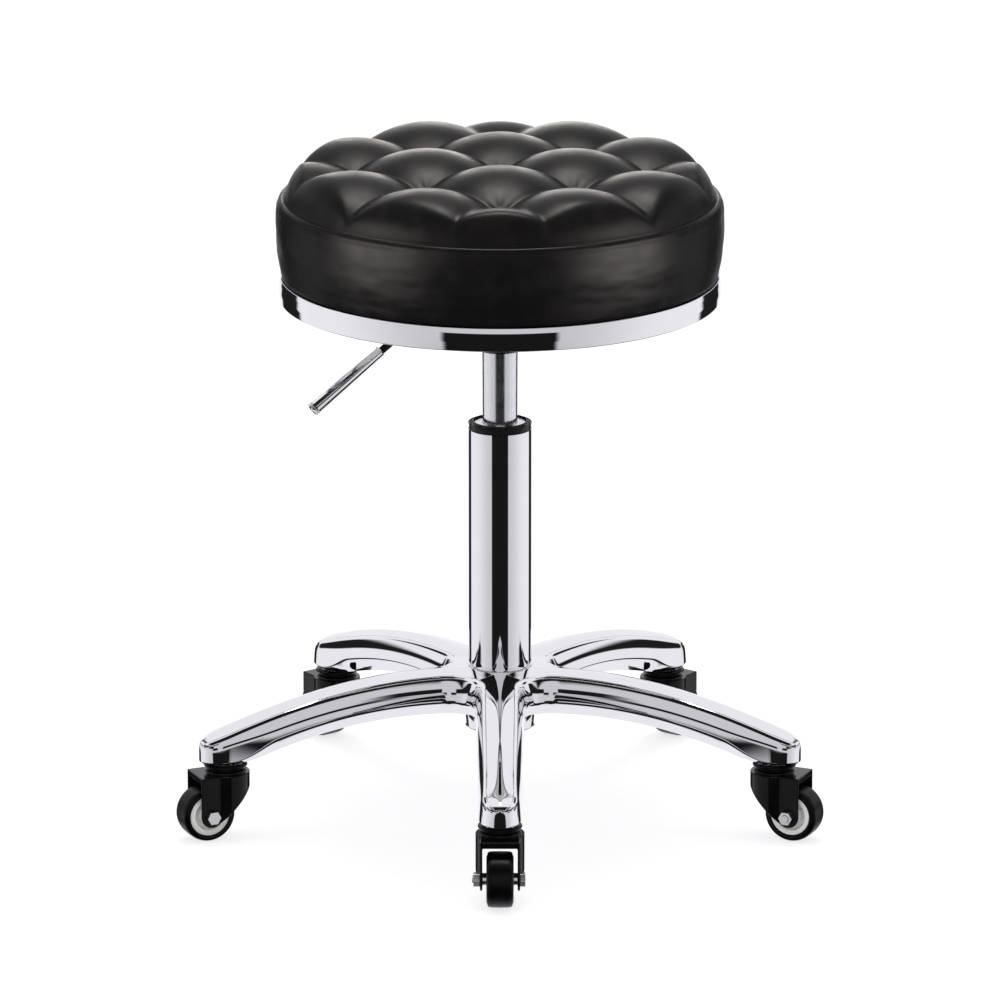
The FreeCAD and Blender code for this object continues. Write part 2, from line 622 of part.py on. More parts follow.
def piston_rod():
    bottom = clip_top() - CLIP_HEIGHT - ROD_TAIL
    seal_z = PISTON_Z + PISTON_HEIGHT
    shaft = rod(PISTON_ROD_RADIUS, bottom, seal_z)
    flange = rod(ROD_FLANGE_RADIUS, ROD_FLANGE_Z, BUFFER_Z)
    groove = tube(PISTON_ROD_RADIUS - ROD_GROOVE, 2 * PISTON_ROD_RADIUS, clip_top() - CLIP_HEIGHT, clip_top())
    return shaft.fuse(flange).cut(groove)


def rod_clip():
    inner = PISTON_ROD_RADIUS - ROD_GROOVE + SLIP_GAP
    bottom = clip_top() - CLIP_HEIGHT
    ring = tube(inner, CLIP_RADIUS, bottom, clip_top())
    opening = Part.makeBox(2 * CLIP_RADIUS, CLIP_OPENING, CLIP_HEIGHT, vec(0, -CLIP_OPENING / 2, bottom))
    return ring.cut(opening)


def rod_buffer():
    return tube(PISTON_ROD_RADIUS + SLIP_GAP, BUFFER_RADIUS, BUFFER_Z, BUFFER_TOP_Z)


def piston_seal_place():
    bottom = PISTON_Z + (PISTON_HEIGHT - PISTON_SEAL_HEIGHT) / 2
    return bottom, bottom + PISTON_SEAL_HEIGHT


def piston():
    outer = LIFT_BORE - FREE_GAP
    bottom, top = piston_seal_place()
    groove = tube(outer - PISTON_SEAL_DEPTH, LIFT_BORE, bottom, top)
    return tube(PISTON_ROD_RADIUS + SLIP_GAP, outer, PISTON_Z, PISTON_Z + PISTON_HEIGHT).cut(groove)


def piston_seal():
    bottom, top = piston_seal_place()
    inner = LIFT_BORE - FREE_GAP - PISTON_SEAL_DEPTH + SLIP_GAP
    return tube(inner, LIFT_BORE - RUNNING_PLAY, bottom, top)


def lift_tube():
    top_radius = LIFT_RADIUS - LIFT_TAPER
    lip = LIFT_BORE - LIFT_LIP
    valve_bore = LIFT_BORE - LIFT_TAPER
    valve_z = VALVE_TOP_Z - VALVE_HEIGHT
    return turned((lip, LIFT_BOTTOM_Z), (LIFT_RADIUS, LIFT_BOTTOM_Z), (LIFT_RADIUS, LIFT_TAPER_Z),
                  (top_radius, LIFT_TOP_Z), (lip, LIFT_TOP_Z), (lip, VALVE_TOP_Z), (valve_bore, VALVE_TOP_Z),
                  (valve_bore, valve_z), (LIFT_BORE, valve_z), (LIFT_BORE, ROD_GUIDE_Z), (lip, ROD_GUIDE_Z))


def rod_guide():
    return tube(PISTON_ROD_RADIUS + RUNNING_PLAY, LIFT_BORE - SLIP_GAP, ROD_GUIDE_Z, ROD_SEAL_Z)


def rod_seal():
    top = ROD_SEAL_Z + ROD_SEAL_HEIGHT
    return tube(PISTON_ROD_RADIUS + RUNNING_PLAY, LIFT_BORE - SLIP_GAP, ROD_SEAL_Z, top)


def valve_body():
    outer = LIFT_BORE - LIFT_TAPER - SLIP_GAP
    return tube(PIN_RADIUS + RUNNING_PLAY, outer, VALVE_TOP_Z - VALVE_HEIGHT, VALVE_TOP_Z)


def pin_top():
    return LEVER_Z - LEVER_ROD_RADIUS - LEVER_PLAY


def release_pin():
    bottom = VALVE_TOP_Z - PIN_DEPTH
    shoulder = pin_top() - PIN_DOME
    ball = (PIN_RADIUS ** 2 + PIN_DOME ** 2) / (2 * PIN_DOME)
    half_way = math.asin(PIN_RADIUS / ball) / 2
    bulge = (ball * math.sin(half_way), pin_top() - ball * (1 - math.cos(half_way)))
    return turned((0, bottom), (PIN_RADIUS, bottom), (PIN_RADIUS, shoulder), (bulge, (0, pin_top())))


# Seat mechanism and lever


def along_lever(shape):
    return spun(shape, LEVER_HEADING)


def taper_socket():
    """The tapered socket that sits on the lift tube, and the pan that joins it to the plate."""
    outer = LIFT_RADIUS + SOCKET_WALL
    pan_z = SOCKET_BOTTOM_Z + PAN_RISE
    bore = LIFT_RADIUS + SLIP_GAP
    pan = turned((bore, pan_z), (outer, pan_z), (PAN_RADIUS, PLATE_Z - PAN_SHEET), (PAN_RADIUS, PLATE_Z),
                 (PAN_RADIUS - PAN_SHEET, PLATE_Z), (outer, pan_z + PAN_SHEET), (bore, pan_z + PAN_SHEET))
    body = rod(outer, SOCKET_BOTTOM_Z, LIFT_TOP_Z).fuse(pan)
    taper = cone(bore, bore - LIFT_TAPER, LIFT_TAPER_Z, LIFT_TOP_Z)
    entry = rod(bore, SOCKET_BOTTOM_Z, LIFT_TAPER_Z)
    slot = Part.makeBox(PAN_RADIUS, PAN_SLOT_WIDTH, PLATE_Z - pan_z, vec(outer, -PAN_SLOT_WIDTH / 2, pan_z))
    return body.cut(taper).cut(entry).cut(along_lever(slot))


def bolt_places():
    half = BOLT_SPACING / 2
    return [(x, y) for x in (-half, half) for y in (-half, half)]


def mounting_plate():
    half = PLATE_SIDE / 2
    plate = Part.makeBox(PLATE_SIDE, PLATE_SIDE, PLATE_HEIGHT, vec(-half, -half, PLATE_Z))
    upright = [e for e in plate.Edges if abs(e.Vertexes[0].Z - e.Vertexes[1].Z) > PLATE_HEIGHT / 2]
    plate = plate.makeFillet(PLATE_CORNER, upright)
    for x, y in bolt_places():
        plate = plate.cut(shifted(rod(BOLT_RADIUS + FREE_GAP, PLATE_Z, BOARD_Z), x, y))
    return plate


def mounting_bolt():
    head = hexagon(BOLT_HEX_FLATS, PLATE_Z - BOLT_HEAD_HEIGHT, PLATE_Z)
    return head.fuse(rod(BOLT_RADIUS, PLATE_Z, BOARD_TOP_Z))


def tee_nut_radius():
    return BOLT_RADIUS + SLIP_GAP + TEE_NUT_WALL


def tee_nut():
    barrel = rod(tee_nut_radius(), BOARD_Z, BOARD_TOP_Z)
    flange = rod(TEE_NUT_RADIUS, BOARD_TOP_Z, BOARD_TOP_Z + TEE_NUT_FLANGE)
    return barrel.fuse(flange).cut(rod(BOLT_RADIUS + SLIP_GAP, BOARD_Z, BOARD_TOP_Z + TEE_NUT_FLANGE))


def bracket_inner():
    return LEVER_BARREL_LENGTH / 2 + FREE_GAP


def bracket_outer():
    return bracket_inner() + BRACKET_SHEET


def lever_bracket():
    """Two cheeks under the plate, joined by a strip, that hold the lever's pivot pin."""
    foot = LEVER_Z - BRACKET_BELOW_PIN
    start = LEVER_PIVOT_DISTANCE - BRACKET_LENGTH / 2
    inner = bracket_inner()
    outer = bracket_outer()
    block = Part.makeBox(BRACKET_LENGTH, 2 * outer, PLATE_Z - foot, vec(start, -outer, foot))
    gap_top = PLATE_Z - BRACKET_SHEET / 2
    gap = Part.makeBox(BRACKET_LENGTH, 2 * inner, gap_top - foot, vec(start, -inner, foot))
    return along_lever(block.cut(gap).cut(across_lever(LEVER_PIN_RADIUS + SLIP_GAP, outer)))


def across_lever(radius, half_length):
    """A cylinder on the lever's pivot axis."""
    start = vec(LEVER_PIVOT_DISTANCE, -half_length, LEVER_Z)
    return Part.makeCylinder(radius, 2 * half_length, start, vec(0, 1, 0))


def lever_pivot_pin():
    head_radius = LEVER_PIN_RADIUS + LEVER_PIN_HEAD
    side = bracket_outer()
    pin = across_lever(LEVER_PIN_RADIUS, side)
    for face, direction in ((side, 1), (-side, -1)):
        place = vec(LEVER_PIVOT_DISTANCE, face, LEVER_Z)
        pin = pin.fuse(Part.makeCylinder(head_radius, LEVER_PIN_HEAD, place, vec(0, direction, 0)))
    return along_lever(pin)


def lever_bend():
    """Where the lever's bend starts and ends, as (distance, height), and the unit slope after it."""
    slope = math.radians(LEVER_SLOPE)
    leg = LEVER_BEND_RADIUS * math.tan(slope / 2)
    lean = (math.cos(slope), -math.sin(slope))
    start = (LEVER_BEND_DISTANCE - leg, LEVER_Z)
    sag = LEVER_BEND_RADIUS * (1 - math.cos(slope / 2))
    middle = (start[0] + LEVER_BEND_RADIUS * math.sin(slope / 2), LEVER_Z - sag)
    end = (LEVER_BEND_DISTANCE + leg * lean[0], LEVER_Z + leg * lean[1])
    return start, middle, end, lean


def on_slope(distance):
    """A point on the lever's sloping part, measured from the corner of its bend."""
    lean = lever_bend()[3]
    return vec(LEVER_BEND_DISTANCE + distance * lean[0], 0, LEVER_Z + distance * lean[1])


def slope_rod(radius, start, end):
    lean = lever_bend()[3]
    return Part.makeCylinder(radius, end - start, on_slope(start), vec(lean[0], 0, lean[1]))


def lever_arm():
    start, middle, end, _ = lever_bend()
    inner = vec(-LEVER_INNER_END, 0, LEVER_Z)
    corners = [vec(x, 0, z) for x, z in (start, middle, end)]
    path = Part.Wire([Part.LineSegment(inner, corners[0]).toShape(), Part.Arc(*corners).toShape(),
                      Part.LineSegment(corners[2], on_slope(GRIP_START + GRIP_LENGTH)).toShape()])
    section = Part.Wire([Part.Circle(inner, vec(1, 0, 0), LEVER_ROD_RADIUS).toShape()])
    bar = path.makePipeShell([section], True, False)
    barrel = across_lever(LEVER_BARREL_RADIUS, LEVER_BARREL_LENGTH / 2)
    bar = bar.fuse(barrel).cut(across_lever(LEVER_PIN_RADIUS + RUNNING_PLAY, LEVER_BARREL_LENGTH))
    return along_lever(bar)


def lever_grip():
    end = GRIP_START + GRIP_LENGTH
    return along_lever(slope_rod(GRIP_RADIUS, GRIP_START, end).cut(slope_rod(GRIP_BORE, GRIP_START, end)))


def lever_cap():
    end = GRIP_START + GRIP_LENGTH
    cap = slope_rod(GRIP_RADIUS, end, end + GRIP_CAP_HEIGHT)
    circles = [e for e in cap.Edges if e.isClosed()]
    outer_rim = max(circles, key=lambda e: e.CenterOfMass.distanceToPoint(on_slope(end)))
    return along_lever(cap.makeFillet(GRIP_CAP_ROUNDING, [outer_rim]))


# Seat


def ring_screw_places(shape):
    return round_about(shape, RING_SCREW_COUNT, RING_SCREW_CIRCLE, 180.0 / RING_SCREW_COUNT)


def seat_board():
    board = rod(BOARD_RADIUS, BOARD_Z, BOARD_TOP_Z)
    for x, y in bolt_places():
        board = board.cut(shifted(rod(tee_nut_radius() + SLIP_GAP, BOARD_Z, BOARD_TOP_Z), x, y))
    for hole in ring_screw_places(rod(RING_SCREW_RADIUS + SLIP_GAP, BOARD_Z, BOARD_Z + RING_SCREW_BITE)):
        board = board.cut(hole)
    return board


def dust_cover():
    half = PLATE_SIDE / 2 + FREE_GAP
    bottom = BOARD_Z - DUST_COVER_HEIGHT
    window = Part.makeBox(2 * half, 2 * half, DUST_COVER_HEIGHT, vec(-half, -half, bottom))
    return rod(HEM_RADIUS - FREE_GAP, bottom, BOARD_Z).cut(window)


def seat_ring():
    """The bright trim ring: a flange under the board's edge and a flared skirt below it."""
    belly_z = RING_TOP_Z - RING_BELLY_DROP
    lip_z = RING_TOP_Z - RING_HEIGHT
    flange_z = RING_TOP_Z - RING_SHEET
    flare = RING_BELLY_RADIUS - RING_NECK_RADIUS
    tuck = RING_BELLY_RADIUS - RING_LIP_RADIUS
    waist = (RING_NECK_RADIUS + 0.3 * flare, RING_TOP_Z - 0.5 * RING_BELLY_DROP)
    roll = (RING_LIP_RADIUS + 0.75 * tuck, belly_z - 0.68 * (belly_z - lip_z))
    flange_edge = RING_SCREW_CIRCLE - RING_FLANGE_EDGE
    ring = turned(
        (flange_edge, flange_z), (flange_edge, RING_TOP_Z), (RING_NECK_RADIUS, RING_TOP_Z),
        (waist, (RING_BELLY_RADIUS, belly_z)), (roll, (RING_LIP_RADIUS, lip_z)),
        (RING_LIP_RADIUS - 0.3 * RING_SHEET, lip_z + RING_SHEET),
        ((roll[0] - RING_SHEET, roll[1] + RING_SHEET), (RING_BELLY_RADIUS - RING_SHEET, belly_z)),
        ((waist[0] - RING_SHEET, waist[1]), (RING_NECK_RADIUS - RING_SHEET, flange_z)))
    for hole in ring_screw_places(rod(RING_SCREW_RADIUS + SLIP_GAP, flange_z, RING_TOP_Z)):
        ring = ring.cut(hole)
    return ring


def ring_screw():
    head_z = RING_TOP_Z - RING_SHEET
    head = rod(RING_SCREW_HEAD_RADIUS, head_z - RING_SCREW_HEAD_HEIGHT, head_z)
    return head.fuse(rod(RING_SCREW_RADIUS, head_z, BOARD_Z + RING_SCREW_BITE))


def tuft_places():
    """The tufts, as (x, y, height of the top over the seam), in a ring of four, eight and four."""
    places = []
    for i in range(-3, 4):
        for j in range(-3, 4):
            if (i + j) % 2 == 0 or abs(i) + abs(j) > 3:
                continue
            if abs(i) + abs(j) == 1:
                places.append((i * TUFT_STEP, j * TUFT_STEP, TUFT_INNER_HEIGHT))
            elif i and j:
                places.append((i * TUFT_STEP, j * TUFT_STEP, TUFT_OUTER_HEIGHT))
            else:
                places.append((i / 3 * TUFT_EDGE_REACH, j / 3 * TUFT_EDGE_REACH, TUFT_EDGE_HEIGHT))
    return places


def tie_places():
    """The nine points between the tufts where the cover is drawn in."""
    steps = range(-2, 3)
    return [(i * TUFT_STEP, j * TUFT_STEP) for i in steps for j in steps
            if (i + j) % 2 == 0 and abs(i) + abs(j) <= 2]


def tuft_height(x, y, inset):
    """Height of the tufted surface, moved inwards by the inset, over a point of the seat."""
    heights = []
    for tx, ty, top in tuft_places():
        reach = (TUFT_RADIUS - inset) ** 2 - (x - tx) ** 2 - (y - ty) ** 2
        if reach > 0:
            heights.append(SEAM_Z + top - TUFT_RADIUS + math.sqrt(reach))
    return max(heights)


def cushion_form(inset):
    """The cushion's outer form moved inwards: a drawn-in side band, and tufts under a rounded crown."""
    foot_z = CUSHION_Z + inset
    belly_z = (CUSHION_Z + SEAM_Z) / 2
    seam = SEAM_RADIUS - inset
    band = turned((0, foot_z), (CUSHION_FOOT_RADIUS - inset, foot_z),
                  ((CUSHION_RADIUS - inset, belly_z), (seam, SEAM_Z)), (0, SEAM_Z))
    lift = SEAM_Z - inset
    brow = lift + BROW_HEIGHT
    shoulder = (SHOULDER_RADIUS - inset, lift + SHOULDER_HEIGHT)
    crown = turned((0, SEAM_Z), (seam, SEAM_Z), (shoulder, (BROW_RADIUS - inset, brow)), (0, brow))
    ball = Part.makeSphere(TUFT_RADIUS - inset)
    domes = [shifted(ball, x, y, SEAM_Z + top - TUFT_RADIUS) for x, y, top in tuft_places()]
    tufted = crown.common(domes[0].multiFuse(domes[1:]))
    return band.fuse(tufted).removeSplitter()


def seat_cover():
    cover = cushion_form(0).cut(cushion_form(COVER_THICKNESS))
    cover = cover.cut(rod(HEM_RADIUS, CUSHION_Z, BOARD_Z))
    for hole in ring_screw_places(rod(RING_SCREW_RADIUS + SLIP_GAP, CUSHION_Z, BOARD_Z)):
        cover = cover.cut(hole)
    return cover


def seat_foam():
    foam = cushion_form(COVER_THICKNESS + SLIP_GAP)
    foam = foam.cut(rod(CUSHION_RADIUS, CUSHION_Z, BOARD_TOP_Z + SLIP_GAP))
    for x, y in bolt_places():
        pocket = rod(TEE_NUT_RADIUS + FREE_GAP, BOARD_TOP_Z, BOARD_TOP_Z + TEE_NUT_FLANGE + FREE_GAP)
        foam = foam.cut(shifted(pocket, x, y))
    for x, y in tie_places():
        foam = foam.cut(shifted(tie(x, y, FREE_GAP), x, y))
    return foam


def tie(x, y, room=0.0):
    """A twine from a disc low in the foam to one just under the cover; room widens it into its hole."""
    spots = []
    for reach in (0, TIE_DISC_RADIUS / 2, TIE_DISC_RADIUS):
        for turn in range(0, 360, 45):
            angle = math.radians(turn)
            spots.append((x + reach * math.cos(angle), y + reach * math.sin(angle)))
    top = min(tuft_height(px, py, COVER_THICKNESS) for px, py in spots) - 3 * FREE_GAP
    foot = BOARD_TOP_Z + TEE_NUT_FLANGE + 2 * FREE_GAP
    disc = rod(TIE_DISC_RADIUS + room, top - TIE_DISC_HEIGHT - room, top + room)
    knot = rod(TIE_DISC_RADIUS + room, foot, foot + TIE_DISC_HEIGHT + room)
    return rod(TIE_RADIUS + room, foot, top).fuse(disc).fuse(knot)


def build():
    os.makedirs("parts", exist_ok=True)
    export("base_casting", base_casting())
    export("column_tube", column_tube())
    export("column_collar", column_collar())
    export("column_seal_ring", column_seal_ring())
    export("guide_bush", guide_bush())
    export("bearing_plate", bearing_plate())
    export("lower_thrust_washer", thrust_washer(LOWER_WASHER_Z))
    casters = range(ARM_COUNT)
    export("caster_stems", *[placed_caster(caster_stem(), k) for k in casters])
    export("caster_caps", *[placed_caster(caster_cap(), k) for k in casters])
    export("caster_lock_washers", *[placed_caster(lock_washer(), k) for k in casters])
    export("swivel_balls", *[placed_caster(ball, k) for k in casters for ball in swivel_balls()])
    export("piston_rod", piston_rod())
    export("piston", piston())
    export("piston_seal", piston_seal())
    export("upper_thrust_washer", thrust_washer(UPPER_WASHER_Z))
    export("thrust_balls", *thrust_balls())
    export("rod_clip", rod_clip())
    export("rod_buffer", rod_buffer())
    export("lift_tube", lift_tube())
    export("rod_guide", rod_guide())
    export("rod_seal", rod_seal())
    export("valve_body", valve_body())
    export("release_pin", release_pin())
    export("taper_socket", taper_socket())
    export("mounting_plate", mounting_plate())
    export("mounting_bolts", *[shifted(mounting_bolt(), x, y) for x, y in bolt_places()])
    export("tee_nuts", *[shifted(tee_nut(), x, y) for x, y in bolt_places()])
    export("lever_bracket", lever_bracket())
    export("lever_pivot_pin", lever_pivot_pin())
    export("lever_arm", lever_arm())
    export("lever_grip", lever_grip())
    export("lever_cap", lever_cap())
    export("seat_board", seat_board())
    export("dust_cover", dust_cover())
    export("seat_ring", seat_ring())
    export("ring_screws", *ring_screw_places(ring_screw()))
    export("seat_cover", seat_cover())
    export("seat_foam", seat_foam())
    export("tuft_ties", *[shifted(tie(x, y), x, y) for x, y in tie_places()])
    for k in casters:
        number = str(k + 1)
        export("fork_" + number, placed_caster(fork(), k))
        export("axle_set_" + number, *[placed_caster(solid, k) for solid in axle_set()])
        export("tyre_" + number, placed_caster(tyre(), k))
        export("wheel_rim_" + number, *[placed_caster(solid, k) for solid in wheel_rim()])


build()
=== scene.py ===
import json
import logging
from dataclasses import dataclass, field
from enum import Enum
from functools import cache
from math import acos, atan, cos, exp, hypot, log1p, pi, radians, sin, tan
from typing import Iterator, Sequence

import bmesh
import bpy
import numpy as np
from mathutils import Matrix, Vector, noise

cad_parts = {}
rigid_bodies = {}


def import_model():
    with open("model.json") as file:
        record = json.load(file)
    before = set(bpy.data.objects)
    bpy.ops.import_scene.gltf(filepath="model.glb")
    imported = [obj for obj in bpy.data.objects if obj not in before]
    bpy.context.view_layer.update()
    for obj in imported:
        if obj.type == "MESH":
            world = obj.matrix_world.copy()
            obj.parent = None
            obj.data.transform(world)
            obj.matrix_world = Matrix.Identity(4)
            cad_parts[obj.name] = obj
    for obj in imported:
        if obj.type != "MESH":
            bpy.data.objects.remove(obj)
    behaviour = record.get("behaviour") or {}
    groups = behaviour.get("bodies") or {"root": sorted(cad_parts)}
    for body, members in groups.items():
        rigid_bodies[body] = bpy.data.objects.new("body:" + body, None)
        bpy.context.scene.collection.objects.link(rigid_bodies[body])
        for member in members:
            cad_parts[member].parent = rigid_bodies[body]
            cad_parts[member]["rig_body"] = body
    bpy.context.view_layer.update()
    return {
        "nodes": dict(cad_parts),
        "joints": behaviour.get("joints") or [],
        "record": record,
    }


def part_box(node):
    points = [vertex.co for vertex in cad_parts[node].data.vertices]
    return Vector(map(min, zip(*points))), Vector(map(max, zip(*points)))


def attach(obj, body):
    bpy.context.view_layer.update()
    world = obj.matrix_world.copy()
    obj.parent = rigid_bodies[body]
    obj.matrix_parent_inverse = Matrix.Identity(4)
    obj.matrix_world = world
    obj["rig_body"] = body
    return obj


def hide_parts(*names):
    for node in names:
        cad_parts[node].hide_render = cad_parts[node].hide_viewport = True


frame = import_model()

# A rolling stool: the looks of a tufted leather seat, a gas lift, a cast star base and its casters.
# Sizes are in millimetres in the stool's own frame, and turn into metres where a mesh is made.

log = logging.getLogger("stool")

MM = 0.001
FULL_TURN = 2 * pi
STRAIGHT = 1e-3  # a smaller turn, in radians, isn't a corner
WELD = 1e-7  # nearer points of a new mesh, in metres, become one
NODE_WELD = 2e-6  # the same for a node's mesh
FLAT_ANGLE = radians(0.5)  # faces that meet flatter become one
SHARP_ANGLE = radians(40)  # sharper edges are rounded
SHADING_WEIGHT = 80
STOOL_MIDDLE = (0.0, 0.0, 0.3)  # in metres
OPEN = -360.0  # starts a span that has no lower end

Colour = tuple[float, float, float]
Place = tuple[float, float, float]
Point = tuple[float, float]
Corner = tuple[float, ...]
Corners = tuple[Corner, ...]
Span = tuple[float, float, float]
Socket = bpy.types.NodeSocket


class Pattern(Enum):
    """The kind of fine marking that a finish carries."""

    POLISH = "polish"
    HIDE = "hide"
    MOULDED = "moulded"
    GROUND = "ground"
    WOVEN = "woven"
    TIMBER = "timber"


class Nodes:
    """A short way to add and link nodes in one node tree."""

    def __init__(self, tree: bpy.types.NodeTree) -> None:
        """Takes the tree that the nodes go into."""
        self.tree = tree

    def feed(self, value: object, socket: Socket) -> None:
        """Links an output to an input, or sets the input to a plain value.

        Args:
            value: An output socket, or a plain value.
            socket: The input.
        """
        if isinstance(value, Socket):
            self.tree.links.new(value, socket)
        else:
            socket.default_value = value

    def wire(self, node: bpy.types.Node, inputs: dict[str, object]) -> None:
        """Feeds a node's inputs by name."""
        for name, value in inputs.items():
            self.feed(value, node.inputs[name])

    def add(self, kind: str, *values: object, named: dict[str, object] | None = None,
            **settings: object) -> bpy.types.Node:
        """Adds one node.

        Args:
            kind: The node's kind.
            values: Its first inputs, in order, with None for one that is left as it is.
            named: Other inputs, by name.
            settings: Properties of the node, by name.

        Returns:
            The new node.
        """
        node = self.tree.nodes.new(f"ShaderNode{kind}")
        for name, value in settings.items():
            setattr(node, name, value)
        for value, socket in zip(values, node.inputs):
            if value is not None:
                self.feed(value, socket)
        self.wire(node, named or {})
        return node

    def maths(self, operation: str, *values: object) -> Socket:
        """Adds a Math node on the values."""
        return self.add("Math", *values, operation=operation).outputs[0]

    def ramp(self, value: object, start: float, end: float, low: object = 0.0, high: object = 1.0) -> Socket:
        """Adds a smooth step from low to high as the value goes from start to end."""
        return self.add("MapRange", value, start, end, low, high, interpolation_type="SMOOTHSTEP").outputs[0]

    def band(self, value: object, start: float, end: float, soft: float) -> Socket:
        """Adds a band that is 1 from start to end and 0 outside it, with soft edges."""
        ends = self.ramp(value, end - soft / 2, end + soft / 2, 1.0, 0.0)
        return self.maths("MULTIPLY", self.ramp(value, start - soft / 2, start + soft / 2), ends)

    def mix(self, share: object, first: object, second: object) -> Socket:
        """Adds a colour mix, whose sockets for colours come after five for numbers and vectors."""
        return self.add("Mix", share, *[None] * 5, first, second, data_type="RGBA").outputs[2]

    def texture(self, kind: str, place: Socket, scale: object, **settings: object) -> bpy.types.Node:
        """Adds a texture at a place on the surface, with its scale in marks per metre."""
        return self.add(f"Tex{kind}", named={"Vector": place, "Scale": scale}, **settings)


def rgba(colour: Colour) -> tuple[float, float, float, float]:
    """The colour with full alpha."""
    return (*colour, 1.0)


class MarkingGroups:
    """The shader node groups of the fine markings, one for each pattern, built when first asked for."""

    INPUTS = {"Scale": "Float", "Dark": "Color", "Light": "Color", "Rough low": "Float", "Rough high": "Float"}
    OUTPUTS = {"Colour": "Color", "Roughness": "Float", "Height": "Float"}
    CLOUD_SCALE = 0.04
    CLOUD_DETAIL = 4.0
    CLOUD_SHARE = 0.7
    RELIEF_SHARE = 0.3
    COLOUR_STEP = (0.3, 0.7)
    ROUGH_STEP = (0.35, 0.65)
    PORE_SCALE = 2.2
    PORE_HEIGHT = 0.5
    CELL_DEPTH = 0.6
    GRAIN_BEND = 6.0
    GROUND_STRETCH = (0.08, 0.08, 1.0)
    SPECKLE_DETAIL = 3.0

    @cache
    def get(self, pattern: Pattern) -> bpy.types.NodeTree:
        """Builds a pattern's group when it is first asked for.

        Args:
            pattern: The marking.

        Returns:
            Its node group.
        """
        tree = bpy.data.node_groups.new(f"{pattern.value}_marks", "ShaderNodeTree")
        for way, sockets in (("INPUT", self.INPUTS), ("OUTPUT", self.OUTPUTS)):
            for name, kind in sockets.items():
                tree.interface.new_socket(name, in_out=way, socket_type=f"NodeSocket{kind}")
        nodes = Nodes(tree)
        given = tree.nodes.new("NodeGroupInput").outputs
        result = tree.nodes.new("NodeGroupOutput").inputs
        place = nodes.add("TexCoord").outputs["Object"]
        height = self.height(pattern, nodes, place, given["Scale"])
        noises = nodes.texture("Noise", place, nodes.maths("MULTIPLY", given["Scale"], self.CLOUD_SCALE))
        nodes.feed(self.CLOUD_DETAIL, noises.inputs["Detail"])
        cloud = noises.outputs[0]
        mottle = nodes.maths("ADD", nodes.maths("MULTIPLY", cloud, self.CLOUD_SHARE),
                             nodes.maths("MULTIPLY", height, self.RELIEF_SHARE))
        share = nodes.ramp(mottle, *self.COLOUR_STEP)
        rough = nodes.ramp(cloud, *self.ROUGH_STEP, given["Rough low"], given["Rough high"])
        nodes.feed(nodes.mix(share, given["Dark"], given["Light"]), result["Colour"])
        nodes.feed(rough, result["Roughness"])
        nodes.feed(height, result["Height"])
        return tree

    def height(self, pattern: Pattern, nodes: Nodes, place: Socket, scale: Socket) -> Socket:
        """Adds the nodes of a pattern's relief.

        Args:
            pattern: The marking.
            nodes: The group's nodes.
            place: The point on the surface.
            scale: Marks in a metre.

        Returns:
            The relief's height.
        """
        if pattern is Pattern.HIDE:
            cells = nodes.texture("Voronoi", place, scale, feature="SMOOTH_F1")
            pores = nodes.texture("Noise", place, nodes.maths("MULTIPLY", scale, self.PORE_SCALE))
            return nodes.maths("SUBTRACT", nodes.maths("MULTIPLY", pores.outputs[0], self.PORE_HEIGHT),
                               nodes.maths("MULTIPLY", cells.outputs[0], self.CELL_DEPTH))
        if pattern in (Pattern.WOVEN, Pattern.TIMBER):
            wave = nodes.texture("Wave", place, scale, bands_direction="X")
            if pattern is Pattern.TIMBER:
                nodes.feed(self.GRAIN_BEND, wave.inputs["Distortion"])
                return wave.outputs[1]
            weft = nodes.texture("Wave", place, scale, bands_direction="Y")
            return nodes.maths("MAXIMUM", wave.outputs[1], weft.outputs[1])
        if pattern is Pattern.GROUND:
            place = nodes.add("VectorMath", place, self.GROUND_STRETCH, operation="MULTIPLY").outputs[0]
        speckle = nodes.texture("Noise", place, scale)
        nodes.feed(self.SPECKLE_DETAIL, speckle.inputs["Detail"])
        return speckle.outputs[0]


GROUPS = MarkingGroups()


@dataclass(frozen=True)
class Finish:
    """A surface finish: its colours, gloss and fine marking."""

    name: str
    dark: Colour
    light: Colour
    rough: Point
    pattern: Pattern
    marks_per_metre: float
    relief: float
    metallic: float = 0.0
    specular: float = 0.5
    coat: float = 0.0
    coat_roughness: float = 0.1
    coat_ior: float = 1.5

    @cache
    def material(self) -> bpy.types.Material:
        """Builds the finish's material when it is first asked for.

        Returns:
            The material.
        """
        made = bpy.data.materials.new(self.name)
        made.use_nodes = True
        nodes = Nodes(made.node_tree)
        shader = made.node_tree.nodes["Principled BSDF"]
        marks = nodes.add("Group", node_tree=GROUPS.get(self.pattern), named={
            "Scale": self.marks_per_metre, "Dark": rgba(self.dark), "Light": rgba(self.light),
            "Rough low": self.rough[0], "Rough high": self.rough[1]})
        nodes.wire(shader, {"Base Color": marks.outputs["Colour"], "Roughness": marks.outputs["Roughness"],
                            "Metallic": self.metallic, "Specular IOR Level": self.specular, "Coat Weight": self.coat,
                            "Coat Roughness": self.coat_roughness, "Coat IOR": self.coat_ior})
        if self.relief:
            bump = nodes.add("Bump", named={"Strength": 1.0, "Distance": self.relief * MM,
                                            "Height": marks.outputs["Height"]})
            nodes.feed(bump.outputs[0], shader.inputs["Normal"])
        return made


